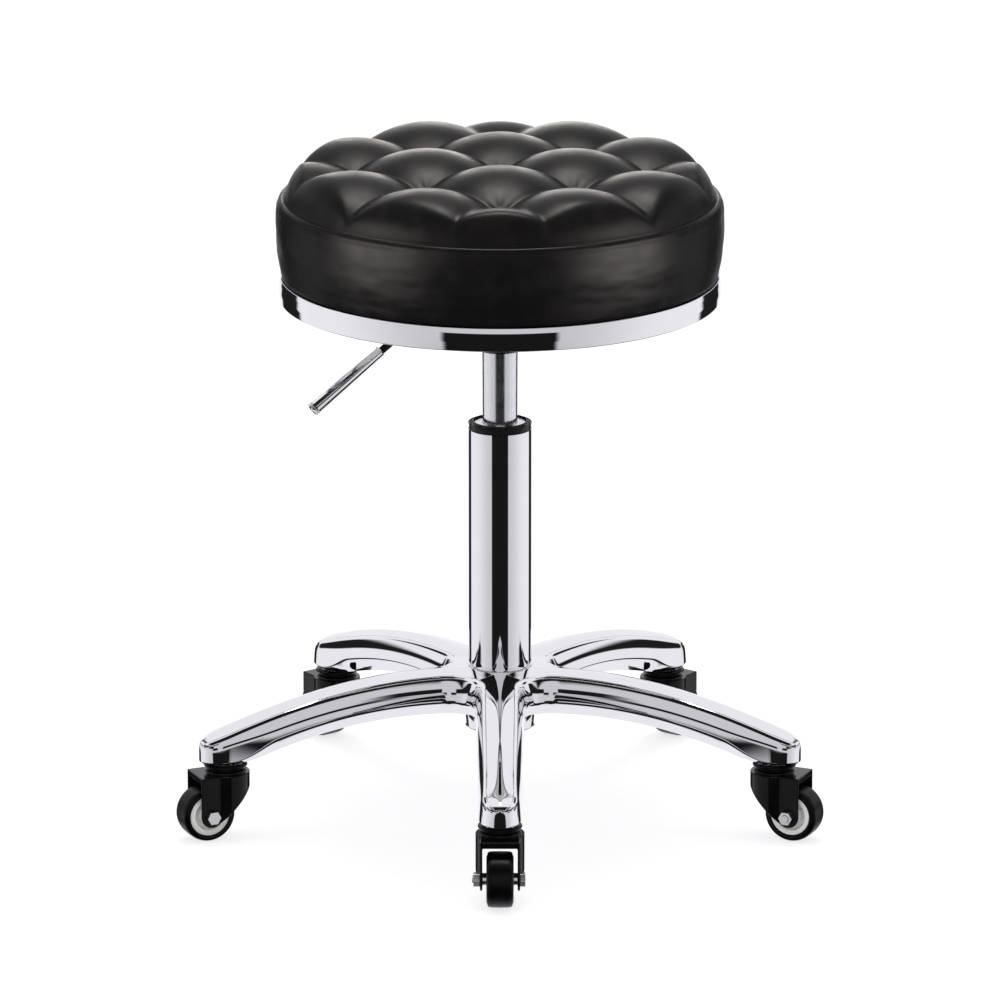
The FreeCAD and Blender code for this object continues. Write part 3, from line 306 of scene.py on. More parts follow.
CHROME = Finish("chrome_plate", (0.80, 0.80, 0.82), (0.84, 0.84, 0.86), (0.015, 0.035), Pattern.POLISH, 60, 0.0,
                metallic=1.0)
GROUND_CHROME = Finish("ground_chrome", (0.70, 0.71, 0.73), (0.78, 0.79, 0.81), (0.17, 0.21), Pattern.GROUND, 3000,
                       0.0, metallic=1.0)
GRIP_CHROME = Finish("grip_chrome", (0.84, 0.84, 0.86), (0.90, 0.90, 0.92), (0.10, 0.14), Pattern.POLISH, 60, 0.0,
                     metallic=1.0)
SATIN_STEEL = Finish("satin_steel", (0.76, 0.76, 0.77), (0.86, 0.86, 0.87), (0.20, 0.28), Pattern.GROUND, 1500, 0.004,
                     metallic=1.0)
HIDE = Finish("black_hide", (0.0016, 0.0015, 0.0017), (0.0030, 0.0028, 0.0030), (0.32, 0.40), Pattern.HIDE, 1300, 0.05,
              specular=0.048)
BLACK_PAINT = Finish("fork_enamel", (0.0022, 0.0022, 0.0026), (0.0042, 0.0042, 0.0048), (0.20, 0.28), Pattern.MOULDED,
                     1800, 0.0, specular=0.02, coat=1.0, coat_roughness=0.06, coat_ior=1.22)
BLACK_PLASTIC = Finish("moulded_black", (0.006, 0.006, 0.006), (0.011, 0.011, 0.011), (0.25, 0.36), Pattern.MOULDED,
                       2500, 0.01, specular=0.4)
TYRE = Finish("wheel_tread", (0.0012, 0.0012, 0.0014), (0.0024, 0.0024, 0.0027), (0.30, 0.40), Pattern.MOULDED, 2200,
              0.02, specular=0.16)
RIM_PLASTIC = Finish("rim_plastic", (0.85, 0.845, 0.83), (0.90, 0.895, 0.88), (0.24, 0.32), Pattern.MOULDED, 1500,
                     0.004)
NYLON = Finish("guide_nylon", (0.66, 0.65, 0.60), (0.72, 0.71, 0.66), (0.4, 0.5), Pattern.MOULDED, 1200, 0.01)
SEAL_RUBBER = Finish("lip_rubber", (0.02, 0.02, 0.02), (0.03, 0.03, 0.03), (0.5, 0.6), Pattern.MOULDED, 1500, 0.02)
BRASS = Finish("valve_brass", (0.62, 0.46, 0.18), (0.72, 0.56, 0.26), (0.22, 0.3), Pattern.GROUND, 1500, 0.01,
               metallic=1.0)
PLYWOOD = Finish("birch_ply", (0.42, 0.28, 0.15), (0.60, 0.44, 0.26), (0.55, 0.7), Pattern.TIMBER, 40, 0.05)
LINING = Finish("pale_lining", (0.68, 0.68, 0.69), (0.74, 0.74, 0.75), (0.75, 0.85), Pattern.WOVEN, 900, 0.05)
FOAM = Finish("cut_foam", (0.75, 0.68, 0.48), (0.85, 0.8, 0.62), (0.8, 0.9), Pattern.HIDE, 600, 0.2)
TWINE = Finish("tie_twine", (0.55, 0.52, 0.44), (0.7, 0.68, 0.6), (0.7, 0.8), Pattern.WOVEN, 800, 0.1)

SLOT_FINISHES = {
    "chrome_casting": CHROME, "chrome": CHROME, "black_plastic": BLACK_PLASTIC, "steel": SATIN_STEEL,
    "axle_steel": SATIN_STEEL, "nylon": NYLON, "black_paint": BLACK_PAINT, "seal_rubber": SEAL_RUBBER,
    "brass_valve": BRASS, "plywood": PLYWOOD, "lining": LINING, "black_leather": HIDE, "foam": FOAM, "twine": TWINE,
    "tyre_rubber": TYRE, "grey_plastic": RIM_PLASTIC,
}


def rounded(corners: Sequence[Corner], steps: int = 6) -> list[Point]:
    """Rounds the corners of a closed outline.

    Args:
        corners: The corners as (across, up) or (across, up, rounding), going round once.
        steps: Steps in each rounding.

    Returns:
        The outline's points.
    """
    outline: list[Point] = []
    count = len(corners)
    for i, corner in enumerate(corners):
        here = Vector(corner[:2])
        radius = corner[2] if len(corner) > 2 else 0.0
        back = (Vector(corners[i - 1][:2]) - here).normalized()
        ahead = (Vector(corners[(i + 1) % count][:2]) - here).normalized()
        turn = acos(max(-1.0, min(1.0, back.dot(ahead))))
        if radius <= 0 or turn > pi - STRAIGHT:
            outline.append(tuple(here))
            continue
        reach = radius / tan(turn / 2)
        centre = here + (back + ahead).normalized() * radius / sin(turn / 2)
        first = here + back * reach - centre
        sweep = (pi - turn) * (1 if first.x * ahead.y - first.y * ahead.x > 0 else -1)
        for k in range(steps + 1):
            c, s = cos(sweep * k / steps), sin(sweep * k / steps)
            spoke = Vector((first.x * c - first.y * s, first.x * s + first.y * c))
            outline.append(tuple(centre + spoke))
    return outline


def placed(out: float, *runs: tuple[float, Corners]) -> list[Corner]:
    """Moves runs of corners, each given with its level, out and up to their place."""
    return [(out + row[0], level + row[1], *row[2:]) for level, rows in runs for row in rows]


def even(corners: Sequence[Corner]) -> list[Corner]:
    """The corners, then their mirror image from the last back to the first."""
    return [*corners, *((c[0], -c[1], *c[2:]) for c in reversed(corners))]


def stand(name: str, data: bpy.types.ID) -> bpy.types.Object:
    """Puts an object made of the data into the scene."""
    made = bpy.data.objects.new(name, data)
    bpy.context.scene.collection.objects.link(made)
    return made


@dataclass
class Shape:
    """Points and faces of one piece, in millimetres, gathered before its mesh is made."""

    points: list[list[float]] = field(default_factory=list)
    faces: list[list[int]] = field(default_factory=list)

    def add_grid(self, rows: np.ndarray, wrap_rows: bool = False, wrap_columns: bool = False) -> None:
        """Adds a grid of points, joined by four-sided faces.

        Args:
            rows: The points, by row and column.
            wrap_rows: Whether the last row joins the first.
            wrap_columns: Whether the last column joins the first.
        """
        index = len(self.points) + np.arange(rows[..., 0].size).reshape(rows.shape[:2])
        if wrap_rows:
            index = np.vstack([index, index[:1]])
        if wrap_columns:
            index = np.hstack([index, index[:, :1]])
        faces = np.stack([index[:-1, :-1], index[:-1, 1:], index[1:, 1:], index[1:, :-1]], axis=2)
        self.points.extend(rows.reshape(-1, 3).tolist())
        self.faces.extend(faces.reshape(-1, 4).tolist())

    def add_turned(self, corners: Sequence[Corner], segments: int, place: Matrix | None = None,
                   steps: int = 6) -> "Shape":
        """Adds a closed outline turned about Z.

        Args:
            corners: The outline's corners, as rounded() takes them, with the radius across.
            segments: Steps in a full turn.
            place: Where the Z axis goes, in millimetres.
            steps: Steps in each rounding.

        Returns:
            This shape.
        """
        outline = np.array(rounded(corners, steps))
        radius, height = outline[:, :1], outline[:, 1:]
        angles = np.arange(segments) * FULL_TURN / segments
        rows = np.stack([radius * np.cos(angles), radius * np.sin(angles), height + 0 * angles], axis=2)
        if place is not None:
            rows = rows @ np.array(place.to_3x3()).T + np.array(place.translation)
        self.add_grid(rows, wrap_rows=True, wrap_columns=True)
        return self

    def piece(self, name: str, finish: Finish, body: str, slot: str, nodes: Sequence[str],
              weighted: bool = True) -> bpy.types.Object:
        """Makes the piece's object, dresses it and puts it on its body.

        Args:
            name: The piece's name.
            finish: Its finish.
            body: The body that it rides on.
            slot: The record's material slot; not used.
            nodes: The nodes that it stands for.
            weighted: Whether large faces set the shading.

        Returns:
            The object.
        """
        mesh = bpy.data.meshes.new(name)
        mesh.from_pydata((np.array(self.points) * MM).tolist(), [], self.faces)
        build = bmesh.new()
        build.from_mesh(mesh)
        bmesh.ops.remove_doubles(build, verts=build.verts, dist=WELD)
        bmesh.ops.dissolve_degenerate(build, edges=build.edges, dist=WELD)
        bmesh.ops.recalc_face_normals(build, faces=build.faces)
        build.to_mesh(mesh)
        build.free()
        mesh.shade_smooth()
        made = stand(name, mesh)
        mesh.materials.append(finish.material())
        if weighted:
            made.modifiers.new("even shading", "WEIGHTED_NORMAL").weight = SHADING_WEIGHT
        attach(made, body)
        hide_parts(*nodes)
        log.info("piece %s on %s, %d faces", name, body, len(mesh.polygons))
        return made


def node_box(node: str) -> tuple[Vector, Vector]:
    """The node's lowest and highest corners, in millimetres."""
    low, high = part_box(node)
    return low / MM, high / MM


def joint_named(name: str) -> dict:
    """The frame's entry for a joint."""
    return next(joint for joint in frame["joints"] if joint["name"] == name)


def along(start: Vector, direction: Vector) -> Matrix:
    """A place whose Z axis starts at a point, in millimetres, and runs along a direction."""
    return Matrix.Translation(start) @ direction.to_track_quat("Z", "Y").to_matrix().to_4x4()


def softened(node: str, name: str, finish: Finish, width: float, segments: int = 2) -> None:
    """Makes a piece of a node's own shape with its sharp edges rounded.

    Args:
        node: The node.
        name: The piece's name.
        finish: Its finish.
        width: The rounding's width, in millimetres.
        segments: Steps in the rounding.
    """
    source = frame["nodes"][node]
    mesh = source.data.copy()
    mesh.name = name
    build = bmesh.new()
    build.from_mesh(mesh)
    bmesh.ops.remove_doubles(build, verts=build.verts, dist=NODE_WELD)
    bmesh.ops.dissolve_limit(build, angle_limit=FLAT_ANGLE, verts=build.verts, edges=build.edges)
    build.to_mesh(mesh)
    build.free()
    mesh.materials.clear()
    mesh.materials.append(finish.material())
    mesh.shade_smooth()
    made = stand(name, mesh)
    bevel = made.modifiers.new("edge", "BEVEL")
    bevel.width = width * MM
    bevel.segments = segments
    bevel.limit_method = "ANGLE"
    bevel.use_clamp_overlap = False
    bevel.angle_limit = SHARP_ANGLE
    made.modifiers.new("even shading", "WEIGHTED_NORMAL").weight = SHADING_WEIGHT
    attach(made, source["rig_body"])
    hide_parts(node)
    log.info("piece %s from node %s", name, node)


@dataclass
class Seat:
    """The tufted cushion and the bright ring under it."""

    step: float = 57.0
    spread: int = 3
    tuft_radius: float = 88.0
    inner_height: float = 37.0
    outer_height: float = 32.5
    edge_height: float = 26.0
    edge_reach: float = 152.0
    seam_radius: float = 169.2
    seam_height: float = 61.5
    seam_inset: float = 0.4
    seam_groove: tuple[Point, ...] = ((0.1, -0.9), (0.3, -1.2))
    belly_radius: float = 175.0
    foot_radius: float = 170.5
    shoulder: Point = (161.0, 18.0)
    brow: Point = (118.0, 46.0)
    crease: float = 0.7
    creased_tufts: int = 4
    groove_depth: float = 6.5
    groove_width: float = 5.5
    groove_power: float = 0.8
    groove_margin: float = 1.5
    groove_fade: float = 8.0
    edge_crease: float = 1.6
    edge_blend: float = 3.0
    pleats: int = 8
    pleat_depth: float = 0.55
    pleat_reach: float = 9.0
    pleat_start: float = 2.5
    rim_run: float = 6.0
    rim_slope: float = 1.9
    welt_place: Point = (1.7, -6.2)
    welt_radius: float = 5.6
    welt_flatness: float = 0.6
    welt_turn: Point = (-0.25, 1.3)
    welt_steps: int = 14
    band_steps: int = 32
    band_foot: float = 1.5
    hem: tuple[Point, ...] = ((-0.5, 0.4), (-1.5, 0.0), (-22.0, 0.0), (-22.0, 4.0))
    ripple_count: float = 3.0
    ripple_rise: float = 0.06
    ripple_depth: float = 0.5
    fine_ripple: Point = (3.1, 0.18)
    segments: int = 480
    rings: int = 150
    ring_crowding: float = 1.6
    trim_foot: Corners = ((-0.5, 0.6, 0.8), (-6.0, 0.0, 0.4), (-6.2, 1.2, 0.5), (-2.0, 1.8, 0.6))
    trim_top: Corners = ((-1.4, -12.0, 8.0), (-2.2, -1.2, 0.8), (-22.4, -1.2, 0.3), (-22.4, 0.0, 0.3),
                         (-0.9, 0.0, 0.4), (-0.4, -4.0, 6.0), (0.0, -11.0, 14.0))
    trim_segments: int = 256
    trim_steps: int = 8

    def tufts(self) -> list[Place]:
        """The tufts as (x, y, height of the top over the seam)."""
        places = []
        span = range(-self.spread, self.spread + 1)
        for i in span:
            for j in span:
                far = abs(i) + abs(j)
                if far % 2 == 0 or far > self.spread:
                    continue
                step, height = self.step, self.inner_height if far == 1 else self.outer_height
                if far == max(abs(i), abs(j)) == self.spread:
                    step, height = self.edge_reach / self.spread, self.edge_height
                places.append((i * step, j * step, height))
        return places

    def pinches(self) -> list[Point]:
        """The points between the tufts where the cover is drawn in."""
        reach = self.spread - 1
        span = range(-reach, reach + 1)
        return [(i * self.step, j * self.step) for i in span for j in span
                if (i + j) % 2 == 0 and abs(i) + abs(j) <= reach]

    def crown(self, radius: np.ndarray) -> np.ndarray:
        """Height over the seam of the arc that bounds the tufts.

        Args:
            radius: Distance from the seat's axis.

        Returns:
            The heights.
        """
        a, b, c = Vector((self.seam_radius, 0)), Vector(self.shoulder), Vector(self.brow)
        p, q = b - a, c - a
        cross = 2 * (p.x * q.y - p.y * q.x)
        centre = a + Vector((q.y * p.length_squared - p.y * q.length_squared,
                             p.x * q.length_squared - q.x * p.length_squared)) / cross
        bow = (a - centre).length
        return centre.y + np.sqrt(np.maximum(bow ** 2 - (np.maximum(radius, self.brow[0]) - centre.x) ** 2, 0.0))

    def top(self, x: np.ndarray, y: np.ndarray) -> np.ndarray:
        """Height of the tufted top over the seam.

        Args:
            x: Places across.
            y: Places towards the back.

        Returns:
            The heights.
        """
        domes = []
        for tx, ty, height in self.tufts():
            reach = self.tuft_radius ** 2 - (x - tx) ** 2 - (y - ty) ** 2
            domes.append(height - self.tuft_radius + np.sqrt(np.maximum(reach, 1.0)))
        domes = np.sort(np.array(domes), axis=0)
        best, second = domes[-1], domes[-2]
        body = best + self.crease * np.log(np.exp((domes[-self.creased_tufts:] - best) / self.crease).sum(axis=0))
        for px, py in self.pinches():
            away = np.hypot(x - px, y - py)
            around = np.arctan2(y - py, x - px)
            fold = np.cos(self.pleats * around + px) * np.exp(-away / self.pleat_reach)
            body += self.pleat_depth * (fold * np.minimum(away / self.pleat_start, 1.0))
        far = np.hypot(x, y)
        crown = self.crown(far)
        low = np.minimum(body, crown)
        low = low - self.edge_crease * np.log1p(np.exp(-np.abs(body - crown) / self.edge_crease))
        covered = 1 / (1 + np.exp((crown - best) / self.edge_blend))
        fade = np.clip((self.seam_radius - self.groove_margin - far) / self.groove_fade, 0.0, 1.0)
        groove = self.groove_depth * np.exp(-((best - second) / self.groove_width) ** self.groove_power)
        return low - groove * covered * fade

    def side(self, edge: float, rim: float, foot: float) -> tuple[list[Point], list[Point]]:
        """The outlines of the welt under the seam and of the side band, from the top down.

        Args:
            edge: The radius where the top ends.
            rim: The height where the top ends.
            foot: The height of the cushion's foot.

        Returns:
            The welt's outline and the band's.
        """
        welt = placed(edge, (rim, self.seam_groove))
        for t in np.linspace(*self.welt_turn, self.welt_steps):
            way, up = sin(t) * self.welt_radius, cos(t) * self.welt_radius
            welt.append((edge + self.welt_place[0] + way * self.welt_flatness, rim + self.welt_place[1] + up))
        start, top = welt[-1]
        seam = foot + self.seam_height
        middle = (foot + seam) / 2
        swell = self.belly_radius - (start + self.foot_radius) / 2
        band = []
        for k in range(1, self.band_steps + 1):
            t = k / self.band_steps
            height = top + (foot + self.band_foot - top) * t
            bow = 1 - ((height - middle) / (seam - middle)) ** 2
            band.append((start + (self.foot_radius - start) * t + swell * max(bow, 0.0), height))
        return welt, band

    def ripple(self, angle: float, height: float) -> float:
        """How far the side band swells at an angle and a height."""
        count = self.ripple_count
        spot = Vector((cos(angle) * count, sin(angle) * count, height * self.ripple_rise))
        scale, depth = self.fine_ripple
        return noise.noise(spot) * self.ripple_depth + noise.noise(spot * scale) * depth

    def cushion(self) -> None:
        """Builds the cushion, with its seam and side band."""
        foot = node_box("seat_cover")[0].z
        seam = foot + self.seam_height
        edge = self.seam_radius - self.seam_inset
        share = np.linspace(0.0, 1.0, self.rings)
        radii = edge * (1 - (1 - share) ** self.ring_crowding)
        angles = np.arange(self.segments) * FULL_TURN / self.segments
        r, a = np.meshgrid(radii, angles, indexing="ij")
        x, y = r * np.cos(a), r * np.sin(a)
        z = seam + self.top(x, y)
        rim = float(seam + self.crown(np.array([edge]))[0])
        fade = np.clip((r - (edge - self.rim_run)) / self.rim_run, 0.0, 1.0) ** 2
        z = z * (1 - fade) + np.minimum(z, rim + (edge - r) * self.rim_slope) * fade
        welt, band = self.side(edge, rim, foot)
        hem = [*placed(self.foot_radius, (foot, self.hem)), (0.0, foot + self.hem[-1][1])]
        lower = np.array([[(br * cos(t), br * sin(t), bz) for t in angles] for br, bz in [*welt, *band, *hem]])
        for i, (br, bz) in enumerate(band, len(welt)):
            for j, t in enumerate(angles):
                lower[i, j, :2] *= 1 + self.ripple(t, bz) / br
        shape = Shape()
        shape.add_grid(np.concatenate([np.stack([x, y, z], axis=2), lower]), wrap_columns=True)
        made = shape.piece("seat_cushion", HIDE, "seat", "black_leather", ("seat_cover", "seat_foam", "tuft_ties"),
                           weighted=False)

    def ring(self) -> None:
        """Builds the bright ring."""
        low, high = node_box("seat_ring")
        corners = placed(high.x, (low.z, self.trim_foot), (high.z, self.trim_top))
        shape = Shape().add_turned(corners, self.trim_segments, steps=self.trim_steps)
        shape.piece("seat_ring_bright", CHROME, "seat", "chrome", ("seat_ring",))


@dataclass
class Lift:
    """The gas lift: column, collar and sliding tube."""

    segments: int = 160
    column_foot: Corners = ((-3.0, 0.0), (-0.8, 0.0))
    column_top: Corners = ((0.0, -200.0), (0.0, 0.0, 0.4), (-3.0, 0.0, 0.3))
    collar_foot: Corners = ((-5.0, 0.0, 0.3), (-2.9, 0.0, 0.3), (-2.9, 4.0), (0.0, 4.0, 0.3))
    collar_top: Corners = ((0.0, 0.0, 1.6), (-5.0, 0.0, 0.9))
    tube_radius: float = 14.0
    tube_foot: Corners = ((-2.0, 0.0), (0.0, 0.0, 0.5))
    tube_top: Corners = ((0.0, -36.0), (-0.9, 0.0, 0.3), (-3.0, 0.0))

    def turned(self, node: str, out: float, foot: Corners, top: Corners) -> Shape:
        """Turns a piece of the lift, with corners placed from its node's foot and top."""
        low, high = node_box(node)
        return Shape().add_turned(placed(out, (low.z, foot), (high.z, top)), self.segments)

    def build(self) -> None:
        """Builds the lift's pieces that show."""
        out = node_box("column_tube")[1].x
        column = self.turned("column_tube", out, self.column_foot, self.column_top)
        column.piece("column_tube_bright", CHROME, "base", "chrome", ("column_tube",))
        collar = self.turned("column_collar", out, self.collar_foot, self.collar_top)
        collar.piece("column_collar_ring", BLACK_PLASTIC, "base", "black_plastic", ("column_collar",))
        tube = self.turned("lift_tube", self.tube_radius, self.tube_foot, self.tube_top)
        tube.piece("lift_tube_bright", GROUND_CHROME, "seat", "chrome", ("lift_tube",))


@dataclass
class StarBase:
    """The cast base: five arms that flow into the hub round the column."""

    arm_count: int = 5
    fillet: float = 20.0
    root_half_width: float = 21.4
    end_half_width: float = 16.5
    bore: float = 24.9
    crest_radius: float = 62.0
    end_thickness: float = 27.0
    root_depth: float = 34.0
    under_radius: float = 50.0
    pad_reach: float = 22.0
    nose_length: float = 20.0
    nose_end: float = 0.03
    nose_bluntness: float = 2.3
    nose_fall: float = 0.22
    hip_fall: float = 0.8
    under_lift: float = 2.5
    brow_share: float = 0.92
    ridge: float = 0.16
    brow_fall: float = 0.07
    lean: float = 24.0
    belt_share: float = 0.62
    hip_share: float = 0.34
    belt_inset: float = 0.07
    foot_inset: float = 0.52
    pad_inset: float = 0.12
    pad_run: float = 40.0
    brow_rounding: float = 5.8
    belt_rounding: float = 20.0
    hip_rounding: float = 4.5
    pad_blend: float = 2.0
    wall: float = 4.0
    hollow_start: float = 60.0
    hollow_margin: float = 13.0
    foot_share: float = 0.85
    mouth_share: float = 0.9
    shut_share: float = 0.98
    nose_ease: float = 1.2
    pad_sharpness: float = 0.75
    foot_rounding: float = 0.5
    fan_steps: int = 40
    arm_steps: int = 90
    nose_steps: int = 28
    dome_steps: int = 18
    dome_end: float = 0.84
    sleeve_foot: Corners = ((-0.5, 7.5, 0.4), (3.6, 7.5, 0.8))
    sleeve_top: Corners = ((3.6, -24.0), (-0.5, -24.0))
    lip: Corners = ((-0.4, -3.0), (2.6, -3.0), (1.5, 0.7, 0.9), (-0.4, 0.7, 0.2))
    hub_segments: int = 128
    tiny: float = 1e-6

    def __post_init__(self) -> None:
        """Takes the levels and the reach from the frame."""
        low, high = node_box("base_casting")
        self.crest_z = high.z
        self.pad_z = low.z
        self.tip = -low.y
        self.circle = hypot(*joint_named("caster_1_swivel")["pos_m"][:2]) / MM
        self.slope = (self.end_half_width - self.root_half_width) / self.circle

    def top(self, x: float) -> float:
        """Height of an arm's ridge, at a distance along the arm."""
        share = (x - self.crest_radius) / (self.circle - self.crest_radius)
        return self.crest_z - (self.crest_z - self.pad_z - self.end_thickness) * share * share

    def under(self, x: float) -> float:
        """Height of an arm's underside, at a distance along the arm."""
        high = self.crest_z - self.root_depth
        share = (x - self.under_radius) / (self.circle - self.pad_reach - self.under_radius)
        arch = high - (high - self.pad_z) * max(share, 0.0) ** 2
        arch += self.under_lift * sin(pi * min(max(share, 0.0), 1.0))
        return self.pad_z + self.pad_blend * log1p(exp((arch - self.pad_z) / self.pad_blend))

    def nose(self, x: float) -> float:
        """How full the arm is at a distance along it: 1 up to its nose, then down round it."""
        share = min(max((x - self.tip + self.nose_length) / self.nose_length, 0.0), 1.0)
        return max((1 - share ** self.nose_bluntness) ** (1 / self.nose_bluntness), self.nose_end)

    def half_width(self, x: float) -> float:
        """Half the arm's width, at a distance along it."""
        return (self.root_half_width + self.slope * x) * self.nose(x)

    def stations(self) -> Iterator[tuple[Vector, Vector, float]]:
        """Steps from the middle of the gap between two arms to an arm's tip.

        Yields:
            The inner point, the outer point and the distance that sets the levels.
        """
        half = pi / self.arm_count
        tilt = hypot(1, self.slope)
        away = (self.root_half_width + self.fillet * tilt) / (sin(half) - self.slope * cos(half))
        centre = Vector((cos(half), sin(half))) * away
        start = pi + half
        end = 1.5 * pi + atan(self.slope)
        touch = centre.x + self.fillet * cos(end)
        arc = self.bore * half
        for k in range(self.fan_steps):
            t = k / self.fan_steps
            a = start + (end - start) * t
            outer = centre + Vector((cos(a), sin(a))) * self.fillet
            way = t * (arc + touch - self.bore)
            if way < arc:
                b = half * (1 - way / arc)
                inner = Vector((cos(b), sin(b))) * self.bore
            else:
                inner = Vector((self.bore + way - arc, 0.0))
            gap = away - self.fillet
            yield inner, outer, gap + (touch - gap) * t
        nose_start = self.tip - self.nose_length
        plain = [touch + (nose_start - touch) * k / self.arm_steps for k in range(self.arm_steps)]
        tip = [nose_start + self.nose_length * sin(pi / 2 * k / self.nose_steps) for k in range(self.nose_steps + 1)]
        for x in [*plain, *tip]:
            yield Vector((x, 0.0)), Vector((x, self.half_width(x))), x

    def section(self, inner: Vector, outer: Vector, x: float) -> list[Point]:
        """The outline across half an arm, as (distance out, height), from the ridge round to the underside.

        Args:
            inner: The inner point of the station.
            outer: The outer point of the station.
            x: The distance that sets the levels.

        Returns:
            The outline.
        """
        across = (outer - inner).length
        full = self.nose(x)
        width = min(across, self.half_width(x))
        tall = self.top(x) - self.under(x)
        deep = tall * (1 - self.nose_fall * (1 - full))

        def level(share: float) -> float:
            """Height of a share of the arm's depth."""
            return self.under(x) + share * deep

        belt = (across - self.belt_inset * width, level(self.belt_share))
        out = min(max((x - self.crest_radius) / (self.circle - self.crest_radius), 0.0), 1.0)
        brow_share = self.brow_share - self.brow_fall * out
        lean = (level(brow_share) - belt[1]) * tan(radians(self.lean))
        brow = (max(belt[0] - lean, belt[0] / 2), level(brow_share))
        near_pad = min(max((x - self.circle) / self.pad_run + 1.0, 0.0), 1.0)
        near_pad = near_pad * near_pad * (3 - 2 * near_pad)
        inset = self.foot_inset + (self.pad_inset - self.foot_inset) * near_pad
        hip = self.hip_share * (1 - self.hip_fall * near_pad)
        base = (across - inset * width, level(0.0))
        dome = []
        for q in np.linspace(0.0, self.dome_end, self.dome_steps):
            fall = (hypot(q, self.ridge) - self.ridge) / (hypot(1.0, self.ridge) - self.ridge)
            dome.append((brow[0] * q, level(1.0) - (level(1.0) - brow[1]) * fall))
        hollow = self.hollow_start < x < self.circle - self.hollow_margin
        inside = base[0] * self.foot_share
        mouth = inside * (self.mouth_share if hollow else self.shut_share)
        ceiling = level(1.0) - 2 * self.wall if hollow else base[1]
        ease = full * (1 + self.nose_ease - self.nose_ease * full)
        hip_rounding = self.hip_rounding * ease * (1 - self.pad_sharpness * near_pad)
        side = rounded([dome[-1], (*brow, self.brow_rounding * ease), (*belt, self.belt_rounding * ease),
                        (across, level(hip), hip_rounding), (*base, self.foot_rounding * full), (inside, base[1]),
                        (mouth, ceiling), (0.0, ceiling)])
        return [*dome[:-1], *side]

    def casting(self) -> None:
        """Builds the casting."""
        rows = []
        bore_steps = 1
        for inner, outer, x in self.stations():
            across = (outer - inner).length
            way = (outer - inner) / across if across > self.tiny else Vector((0.0, 1.0))
            rows.append([(*(inner + way * s), z) for s, z in self.section(inner, outer, x)])
            bore_steps += inner.y > self.tiny
        rows.append([(px, 0.0, pz) for px, _, pz in rows[-1]])
        half = np.array(rows)
        shape = Shape()
        for arm in range(self.arm_count):
            a = FULL_TURN * arm / self.arm_count - pi / 2
            turn = np.array([[cos(a), sin(a), 0], [-sin(a), cos(a), 0], [0, 0, 1]])
            for side in (1, -1):
                grid = (half * np.array([1, side, 1])) @ turn
                shape.add_grid(grid)
                shape.add_grid(grid[:bore_steps + 1][:, [0, -1]])
        hub_top = self.top(self.bore)
        sleeve = placed(self.bore, (self.pad_z, self.sleeve_foot), (hub_top, self.sleeve_top))
        shape.add_turned(sleeve, self.hub_segments)
        shape.add_turned(placed(self.bore, (hub_top, self.lip)), self.hub_segments)
        shape.piece("star_base", CHROME, "base", "chrome_casting", ("base_casting",), weighted=False)


@dataclass
class Casters:
    """The five casters: turned wheels and caps, and forks, axles and washers with eased edges."""

    count: int = 5
    segments: int = 96
    half_width: float = 10.5
    tread: Corners = ((-5.2, 0.2, 0.2), (-4.0, 0.0, 0.6), (-3.2, 0.5, 0.3), (-0.7, 1.2, 1.6),
                      (-0.15, 4.0, 3.0), (-0.05, 9.8), (0.0, 10.25, 0.1))
    rim_gap: float = 0.05
    face_inset: float = 0.7
    hub: Corners = ((3.2, 5.0), (5.6, 5.0, 0.2), (6.0, 0.6, 0.3), (8.2, 0.6, 0.4), (8.7, 5.0, 0.3))
    rim: Corners = ((-4.8, 5.0, 0.5), (-4.2, 0.0, 0.6), (0.0, 0.0, 0.5))
    cap_radius: float = 17.25
    cap_foot: Corners = ((-13.15, 0.0), (0.0, 0.0, 1.6))
    cap_top: Corners = ((0.0, -0.4, 2.2), (-3.4, 0.0, 1.0), (-4.8, -1.3, 0.8), (-13.15, -1.3))
    fork_edge: float = 0.8
    fork_edge_steps: int = 3
    axle_edge: float = 0.3
    washer_edge: float = 0.06

    def wheel(self, index: int) -> None:
        """Builds a wheel's tyre and rim.

        Args:
            index: The caster's number.
        """
        joint = joint_named(f"wheel_{index}_spin")
        place = along(Vector(joint["pos_m"]) / MM, Vector(joint["axis"]))
        radius = joint["pos_m"][2] / MM
        tyre = Shape().add_turned(even(placed(radius, (-self.half_width, self.tread))), self.segments, place)
        tyre.piece(f"tyre_tread_{index}", TYRE, f"wheel_{index}", "tyre_rubber", (f"tyre_{index}",))
        outer = radius + self.tread[0][0] - self.rim_gap
        face = self.face_inset - self.half_width
        disc = even([*placed(0.0, (face, self.hub)), *placed(outer, (face, self.rim))])
        rim = Shape().add_turned(disc, self.segments, place)
        rim.piece(f"wheel_rim_face_{index}", RIM_PLASTIC, f"wheel_{index}", "grey_plastic", (f"wheel_rim_{index}",))

    def caps(self) -> None:
        """Builds the five dished swivel caps."""
        low, high = node_box("caster_caps")
        corners = placed(self.cap_radius, (low.z, self.cap_foot), (high.z, self.cap_top))
        shape = Shape()
        for index in range(1, self.count + 1):
            centre = Vector(joint_named(f"caster_{index}_swivel")["pos_m"]) / MM
            shape.add_turned(corners, self.segments, Matrix.Translation((centre.x, centre.y, 0.0)))
        shape.piece("swivel_caps", BLACK_PAINT, "base", "black_paint", ("caster_caps",))

    def build(self) -> None:
        """Builds all the casters."""
        for index in range(1, self.count + 1):
            self.wheel(index)
            softened(f"fork_{index}", f"fork_pressed_{index}", BLACK_PAINT, self.fork_edge,
                     self.fork_edge_steps)
            softened(f"axle_set_{index}", f"axle_bolt_{index}", SATIN_STEEL, self.axle_edge)
        self.caps()
        softened("caster_lock_washers", "toothed_washers", SATIN_STEEL, self.washer_edge)


